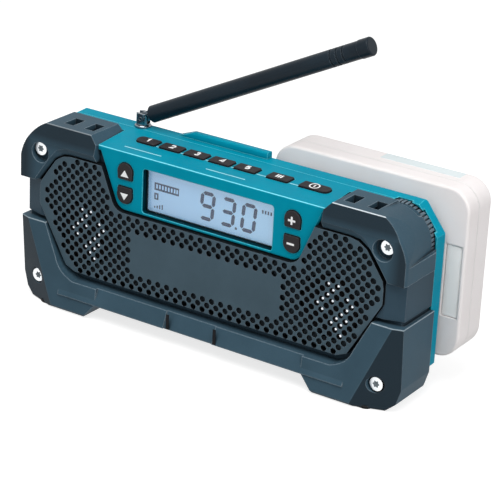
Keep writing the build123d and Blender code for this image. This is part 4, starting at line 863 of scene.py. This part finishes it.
def sign_band_and_power():
    """Three short bars on the band key, and a ring with a bar on the power key."""
    top = deck_face(34.4, KEY_ROW)
    bars = [deck_stroke(top, [(x - 0.1, -1.7), (x + 0.1, 1.7)], 0.95) for x in (-1.9, -0.4, 1.1)]
    make_piece("band_sign", *joined(bars), SIGN_WHITE, "band_key_body", "key_dark")
    top = deck_face(56.4, 20.7)
    ring = deck_stroke(top, arc((0, 0), 2.75, 0, 345, 24), 0.75, closed=True)
    bar = deck_stroke(top, [(0, -1.2), (0, 1.2)], 0.8)
    make_piece("power_sign", *joined([ring, bar]), SIGN_WHITE, "power_key_body", "key_dark")


def sign_face_keys():
    """Arrows on the left pair of fascia keys, plus and minus on the right pair."""
    low, high = SIGN_LOW, SIGN_HIGH
    left, right = front_face(1.5, -55.2), front_face(1.5, 54.9)
    up = [(-2.7, 89.9), (2.7, 89.9), (0, 93.9)]
    down = [(2.7, 80.1), (-2.7, 80.1), (0, 76.1)]
    bar = 1.15
    plus = [
        stroke(right, [(-2.3, 92.3), (2.3, 92.3)], bar, low, high),
        stroke(right, [(0, 90.0), (0, 94.6)], bar, low, high - 0.01),
    ]
    minus = stroke(right, [(-2.3, 79.0), (2.3, 79.0)], bar, low, high)
    make_piece("up_sign", *plate(left, up, low, high), SIGN_WHITE, "up_key_body", "key_dark")
    make_piece("down_sign", *plate(left, down, low, high), SIGN_WHITE, "down_key_body", "key_dark")
    make_piece("plus_sign", *joined(plus), SIGN_WHITE, "plus_key_body", "key_dark")
    make_piece("minus_sign", *minus, SIGN_WHITE, "minus_key_body", "key_dark")


# ---- print on the deck --------------------------------------------------------------------


def print_deck_lines():
    """Two hairlines in front of the preset keys, and a dash in each gap between two keys."""
    lines = []
    face = deck_face(0, 8.9)
    for left, right in ((-61.0, -36.0), (-6.0, 19.6)):
        lines.append(stroke(face, [(left, 0), (right, 0)], 0.75, -0.02, 0.05))
    face = deck_face(0, 18.3)
    between = [(gap - 1.0, gap + 1.0) for gap in (-45.15, -28.45, -11.75, 4.95)]
    for left, right in between + [(20.9, 26.8), (42.0, 47.6)]:
        lines.append(stroke(face, [(left, 0), (right, 0)], 0.7, -0.02, 0.05))
    make_piece("deck_print", *joined(lines), PRINT_LIGHT, "housing", "housing_teal")


# ---- display ------------------------------------------------------------------------------

SEGMENTS = {"0": "abcdef", "3": "abgcd", "9": "abcdfg"}


def segment(start, stop, width):
    """A bar with pointed ends between two points, as a closed counter-clockwise outline."""
    start, stop = np.array(start, float), np.array(stop, float)
    along = (stop - start) / np.linalg.norm(stop - start)
    side = np.array([-along[1], along[0]]) * width / 2
    tip = along * width / 2
    right = [start + tip - side, stop - tip - side]
    left = [stop - tip + side, start + tip + side]
    return np.array([start, *right, stop, *left])


def digit_outlines(symbol, left, low, across, height, width, lean):
    """The bars of one seven-bar digit, sheared by lean for each millimetre of height."""
    half = height / 2
    gap = 0.16 * width
    ends = {
        "a": ((gap, height), (across - gap, height)),
        "b": ((across, height - gap), (across, half + gap)),
        "c": ((across, half - gap), (across, gap)),
        "d": ((gap, 0), (across - gap, 0)),
        "e": ((0, half - gap), (0, gap)),
        "f": ((0, height - gap), (0, half + gap)),
        "g": ((gap, half), (across - gap, half)),
    }
    bars = []
    for bar in SEGMENTS[symbol]:
        outline = segment(*ends[bar], width)
        outline[:, 0] += outline[:, 1] * lean
        bars.append(outline + (left, low))
    return bars


def block(left, low, right, high):
    """A rectangle as a counter-clockwise outline."""
    return [(left, low), (right, low), (right, high), (left, high)]


def build_display_marks():
    """Three large digits with a point, a level gauge, a small boxed digit, and two rows of small bars."""
    face = front_face(7.78)
    low, high = -0.01, 0.04
    ink = []
    for symbol, left in (("9", -7.5), ("3", 6.1), ("0", 19.7)):
        ink += digit_outlines(symbol, left, 76.6, 7.6, 14.8, 2.15, 0.085)
    ink.append(block(15.5, 75.3, 16.8, 76.6))
    for x in (-38.6, -36.9, -35.2, -33.5):
        ink.append(block(x, 74.3, x + 0.8, 75.3 + (x + 38.6) * 0.36))
    for x in (32.4, 34.2, 36.0, 37.8):
        ink.append(block(x, 89.0, x + 1.0, 91.0))
    ink.append(block(-38.7, 79.3, -35.9, 83.2))
    ink.append(block(-38.7, 84.9, -22.2, 89.4))
    marks = [plate(face, outline, low, high) for outline in ink]
    make_piece("display_marks", *joined(marks), DIGIT_INK, "housing", "panel_grey")
    gauge = [block(x, 86.0, x + 1.1, 88.4) for x in (-37.6, -35.6, -33.6, -31.6, -29.6, -27.6, -25.6, -23.9)]
    gauge.append(block(-37.7, 80.2, -36.9, 82.3))
    clear = [plate(face, outline, low, high + 0.02) for outline in gauge]
    make_piece("display_marks_clear", *joined(clear), FINISHES["panel_grey"], "housing", "panel_grey")


def rounded(left, low, right, high, radius, count=7):
    """A rectangle with round corners as a counter-clockwise outline."""
    corners = (
        (right - radius, high - radius, 0),
        (left + radius, high - radius, 90),
        (left + radius, low + radius, 180),
        (right - radius, low + radius, 270),
    )
    return np.concatenate([arc((x, z), radius, start, start + 90, count) for x, z, start in corners])


def build_display_window():
    """A clear window with an eased edge, just clear of the display panel behind it."""
    outline = rounded(-42.65, 72.15, 41.95, 96.55, 1.4)
    window = plate(front_face(6.6), outline, -0.95, 0.0, 0.3)
    piece = make_piece("display_window", *window, FINISHES["lens_clear"], "housing", "lens_clear")
    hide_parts("display_lens")


# ---- speaker grille -----------------------------------------------------------------------

GRILLE_RIGHT = [
    (88.0, 24.3), (94.6, 27.0), (96.8, 30.8), (114.0, 60.6), (114.0, 69.5),
    (113.2, 74.0), (102.6, 89.0), (97.3, 92.4), (91.9, 93.4),
]
FIELD_RIGHT = [(86.6, 25.4), (95.9, 34.8), (110.6, 63.0), (110.6, 72.3), (98.8, 89.0), (92.5, 92.0)]
LATTICE_LEFT, LATTICE_TOP = -93.1, 91.2
LATTICE_ACROSS, LATTICE_DOWN = 6.08, 6.19 / 2
SPEAKER_SIDE, SPEAKER_HEIGHT = 81.0, 50.0
HOLE_SIDES = 16


def lattice_place(row, column):
    """The middle of a place on the square lattice, which is turned by 45 degrees."""
    return LATTICE_LEFT + (column + (row % 2) / 2) * LATTICE_ACROSS, LATTICE_TOP - row * LATTICE_DOWN


def grille_outline():
    """The grille's outline, with the notch that the fascia's round lower corners sit in."""
    right = [(x - 0.1, z) for x, z in GRILLE_RIGHT]
    lean = 0.40974
    corner = arc((60.3 - 5.55, 69.2 + 8.0), 8.0, -90, -22.3, 9)[::-1]
    notch = np.concatenate([[(60.3 + lean * 24.1, 93.4)], corner])
    left_notch = notch[::-1] * (-1, 1)
    left = [(-x, z) for x, z in reversed(right)]
    return np.concatenate([right, notch, left_notch, left])


def clear_of(outline, x, z):
    """Least distance from a point to the edges of a convex counter-clockwise outline, negative outside."""
    outline = np.asarray(outline, float)
    ahead = np.roll(outline, -1, axis=0) - outline
    turn = ahead[:, 0] * (z - outline[:, 1]) - ahead[:, 1] * (x - outline[:, 0])
    return (turn / np.linalg.norm(ahead, axis=1)).min()


def hole_centres():
    """Centres of the grille's holes: the lattice inside the field, clear of the fascia, bare mid-width."""
    field = FIELD_RIGHT + [(-x, z) for x, z in reversed(FIELD_RIGHT)]
    fascia = [(-60.2, 69.3), (60.2, 69.3), (73.35, 101.4), (-73.35, 101.4)]
    centres = []
    for row in range(23):
        for column in range(-4, 36):
            x, z = lattice_place(row, column)
            bare = -50.0 < x < 51.5 and 33.4 < z < 59.0
            if clear_of(field, x - 1.14, z) > 0 and clear_of(fascia, x, z) < -2.2 and not bare:
                centres.append((x, z))
    return np.array(centres)


def sheet(outline, holes):
    """Triangles that fill a flat outline round its holes; the corners keep their order."""
    flat = np.concatenate([outline, *holes])
    loops, owner, start = [], [], 0
    for number, loop in enumerate([outline, *holes]):
        loops.append(list(range(start, start + len(loop))))
        owner += [number] * len(loop)
        start += len(loop)
    edges = [(loop[i], loop[(i + 1) % len(loop)]) for loop in loops for i in range(len(loop))]
    found = delaunay_2d_cdt([Vector(p) for p in flat.tolist()], edges, loops[:1], 1, 1e-6)
    source = [origin[0] for origin in found[3]]
    kept = []
    for a, b, c in found[2]:
        a, b, c = source[a], source[b], source[c]
        if owner[a] == owner[b] == owner[c] > 0:
            continue
        turn = np.cross(flat[b] - flat[a], flat[c] - flat[a])
        kept.append((a, b, c) if turn > 0 else (a, c, b))
    return flat, kept


def walls(first, second, loops):
    """Quads between two rings of the same loops, whose points start at first and second."""
    faces = []
    for start, count in loops:
        for i in range(count):
            j = (i + 1) % count
            faces.append((first + start + i, second + start + i, second + start + j, first + start + j))
    return faces


def build_grille():
    """A moulded plate with eased round holes and a rim that runs back to the housing.

    The front and back are flat sheets round the same holes. Each hole is a 16-sided ring that tapers
    from a wider mouth to its bore, and the rim is a wall round the back's edge.
    """
    face = front_face(0)
    outline = grille_outline()
    ring = arc((0, 0), 1.0, 0, 360 - 360 / HOLE_SIDES, HOLE_SIDES)[::-1]
    centres = hole_centres()
    mouths = [centre + ring * 1.79 for centre in centres]
    bores = [centre + ring * 1.7 for centre in centres]
    front, front_faces = sheet(drawn_in(outline, 0.1), mouths)
    back, back_faces = sheet(drawn_in(outline, 0.12), bores)
    levels = [
        face.lift(front, 0.0),
        face.lift(np.concatenate([outline, *bores]), -0.3),
        face.lift(back, -0.9),
        face.lift(outline, -4.9),
        face.lift(drawn_in(outline, 0.12), -4.9),
    ]
    starts = np.cumsum([0] + [len(level) for level in levels]).tolist()
    edge = [(0, len(outline))]
    holes = [(len(outline) + HOLE_SIDES * number, HOLE_SIDES) for number in range(len(centres))]
    faces = list(front_faces)
    faces += [(starts[2] + a, starts[2] + c, starts[2] + b) for a, b, c in back_faces]
    faces += walls(0, starts[1], edge + holes)
    faces += walls(starts[1], starts[2], holes)
    faces += walls(starts[1], starts[3], edge)
    faces += walls(starts[3], starts[4], edge)
    faces += walls(starts[4], starts[2], edge)
    points = np.concatenate(levels)
    finish = FINISHES["grille_slate"]
    piece = make_piece("round_hole_grille", points, faces, finish, "housing", "grille_slate")
    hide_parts("speaker_grille")


def build_grille_floor():
    """The moulding's floor close behind the holes, open over the two speakers."""
    face = front_face(0)
    outline = drawn_in(grille_outline(), 1.75)
    sides = 48
    opening = arc((0, 0), 18.5, 0, 360 - 360 / sides, sides)[::-1]
    openings = [opening + (side * SPEAKER_SIDE, SPEAKER_HEIGHT) for side in (-1, 1)]
    flat, triangles = sheet(outline, openings)
    count = len(flat)
    faces = triangles + [(count + a, count + c, count + b) for a, b, c in triangles]
    faces += walls(0, count, [(0, len(outline)), (len(outline), sides), (len(outline) + sides, sides)])
    points = np.concatenate([face.lift(flat, -2.1), face.lift(flat, -2.5)])
    make_piece("grille_floor", points, faces, FLOOR_SLATE, "housing", "grille_slate")


# lattice columns of the silvered domes in each row, for the left speaker
GLINT_ROWS = {
    9: (1, 2), 10: (2,), 11: (1, 3), 12: (1, 2, 4), 13: (0, 3),
    14: (1, 3), 15: (2, 3), 16: (2, 3), 17: (2,), 18: (3,),
}
COLUMNS_BETWEEN = 27  # from a hole of the left speaker to the same hole of the right one


def build_speaker_screens():
    """A dark screen behind each speaker's holes, with silvered domes that stand up into some of them.

    The domes only give those holes a bright glint. They stand for no piece of the radio.
    """
    face = front_face(0)
    dome = [(0, -0.85), (0.5, -0.93), (0.95, -1.16), (1.28, -1.5), (1.45, -2.0), (1.5, -2.7)]
    disc = [(0, -2.6), (17.5, -2.6), (17.5, -3.0), (0, -3.0)]
    screens = [turned(face, disc, (side * SPEAKER_SIDE, SPEAKER_HEIGHT), 64) for side in (-1, 1)]
    make_piece("speaker_screens", *joined(screens), FINISHES["cone_black"], "housing", "cone_black")
    parts = []
    for row, columns in GLINT_ROWS.items():
        for column in columns:
            for shift in (0, COLUMNS_BETWEEN):
                parts.append(turned(face, dome, lattice_place(row, column + shift), HOLE_SIDES))
    make_piece("screen_domes", *joined(parts), FINISHES["cap_silver"], "housing", "cap_silver", smooth=True)


def build_tuning_wheel():
    """The tuning wheel's tread: fifty square ribs round a drum whose ends draw in a little."""
    ribs = 50
    step = 360 / ribs
    crest, groove = 20, 18.9
    rib = ((0, crest), (0.56, crest), (0.62, groove), (0.94, groove))
    corners = [(start + part * step, radius) for start in np.arange(ribs) * step for part, radius in rib]
    angle = np.radians([turn for turn, _ in corners])
    reach = np.array([radius for _, radius in corners])
    rings = []
    for depth, smaller in ((30.7, 0.4), (31.1, 0.0), (34.9, 0.0), (35.3, 0.4)):
        ring = np.stack([(reach - smaller) * np.cos(angle), (reach - smaller) * np.sin(angle)], axis=1)
        rings.append(front_face(depth, 103.8, 86.8).lift(ring, 0))
    count = len(angle)
    faces = [tuple(range(count)), tuple(range(4 * count - 1, 3 * count - 1, -1))]
    for ring in range(3):
        faces += walls(ring * count, (ring + 1) * count, [(0, count)])
    points = np.concatenate(rings)
    wheel = make_piece("ribbed_wheel", points, faces, FINISHES["wheel_dark"], "wheel", "wheel_dark")
    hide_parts("tuning_wheel")


def build_tab_groove_shade():
    """Painted shade for a groove at each end of the tab: a dark strip on the bar's front."""
    parts = []
    for x in (-18.0, 13.6):
        parts.append(plate(front_face(-5.7), block(x - 0.95, 10.4, x + 0.95, 19.4), -0.3, 0.05))
    make_piece("tab_groove_shade", *joined(parts), GROOVE_SHADE, "housing", "guard_slate")


# ---- screws -------------------------------------------------------------------------------


def star(radius, inner, lobes=6, count=48):
    """A lobed star: the radius swings between inner and radius with the cosine of lobes times the angle."""
    angle = np.linspace(0, 2 * math.pi, count, endpoint=False)
    reach = (radius + inner) / 2 + (radius - inner) / 2 * np.cos(lobes * angle)
    return np.stack([reach * np.cos(angle), reach * np.sin(angle)], axis=1)


def build_screw_recesses():
    """A dark star floor on each screw head."""
    parts = []
    for x, z, depth in ((-114, 93, 0.9), (114, 93, 0.9), (-114, 15.5, -0.6), (114, 15.5, -0.6)):
        parts.append(plate(front_face(depth, x, z), star(2.1, 1.45), -0.3, 0.04))
    make_piece("screw_recesses", *joined(parts), RECESS_SHADE, "housing", "screw_steel")


# ---- battery ------------------------------------------------------------------------------


def build_battery_label():
    """A bare label inlaid in the pack's upper side."""
    top = Face((0, 0, 115.5), (1, 0, 0), (0, 1, 0))
    label = plate(top, block(72.0, 61.5, 121.0, 69.5), -0.1, 0.12, 0.06)
    make_piece("pack_label", *label, LABEL_PALE, "battery", "pack_pale")


stand_camera()
light_room()
hang_lamp("overhead", (0.05, -0.42, 1.13), (0, 0, 0.05), (0.9, 0.9), 10.0, (1.0, 0.99, 0.97))
hang_lamp("right_window", (1.0, -0.4, 0.5), (0.05, 0, 0.06), (0.5, 0.8), 4.6, (1.0, 0.99, 0.98))
hang_lamp("front_fill", (-0.6, -1.2, 0.5), (0, 0, 0.06), (0.9, 0.7), 0.8, (1.0, 1.0, 1.0))
dress_frame()
sign_presets()
sign_band_and_power()
sign_face_keys()
print_deck_lines()
build_display_marks()
build_display_window()
build_grille()
build_grille_floor()
build_speaker_screens()
build_tuning_wheel()
build_tab_groove_shade()
build_screw_recesses()
build_battery_label()
lay_floor()
bpy.context.scene.view_settings.view_transform = "Standard"
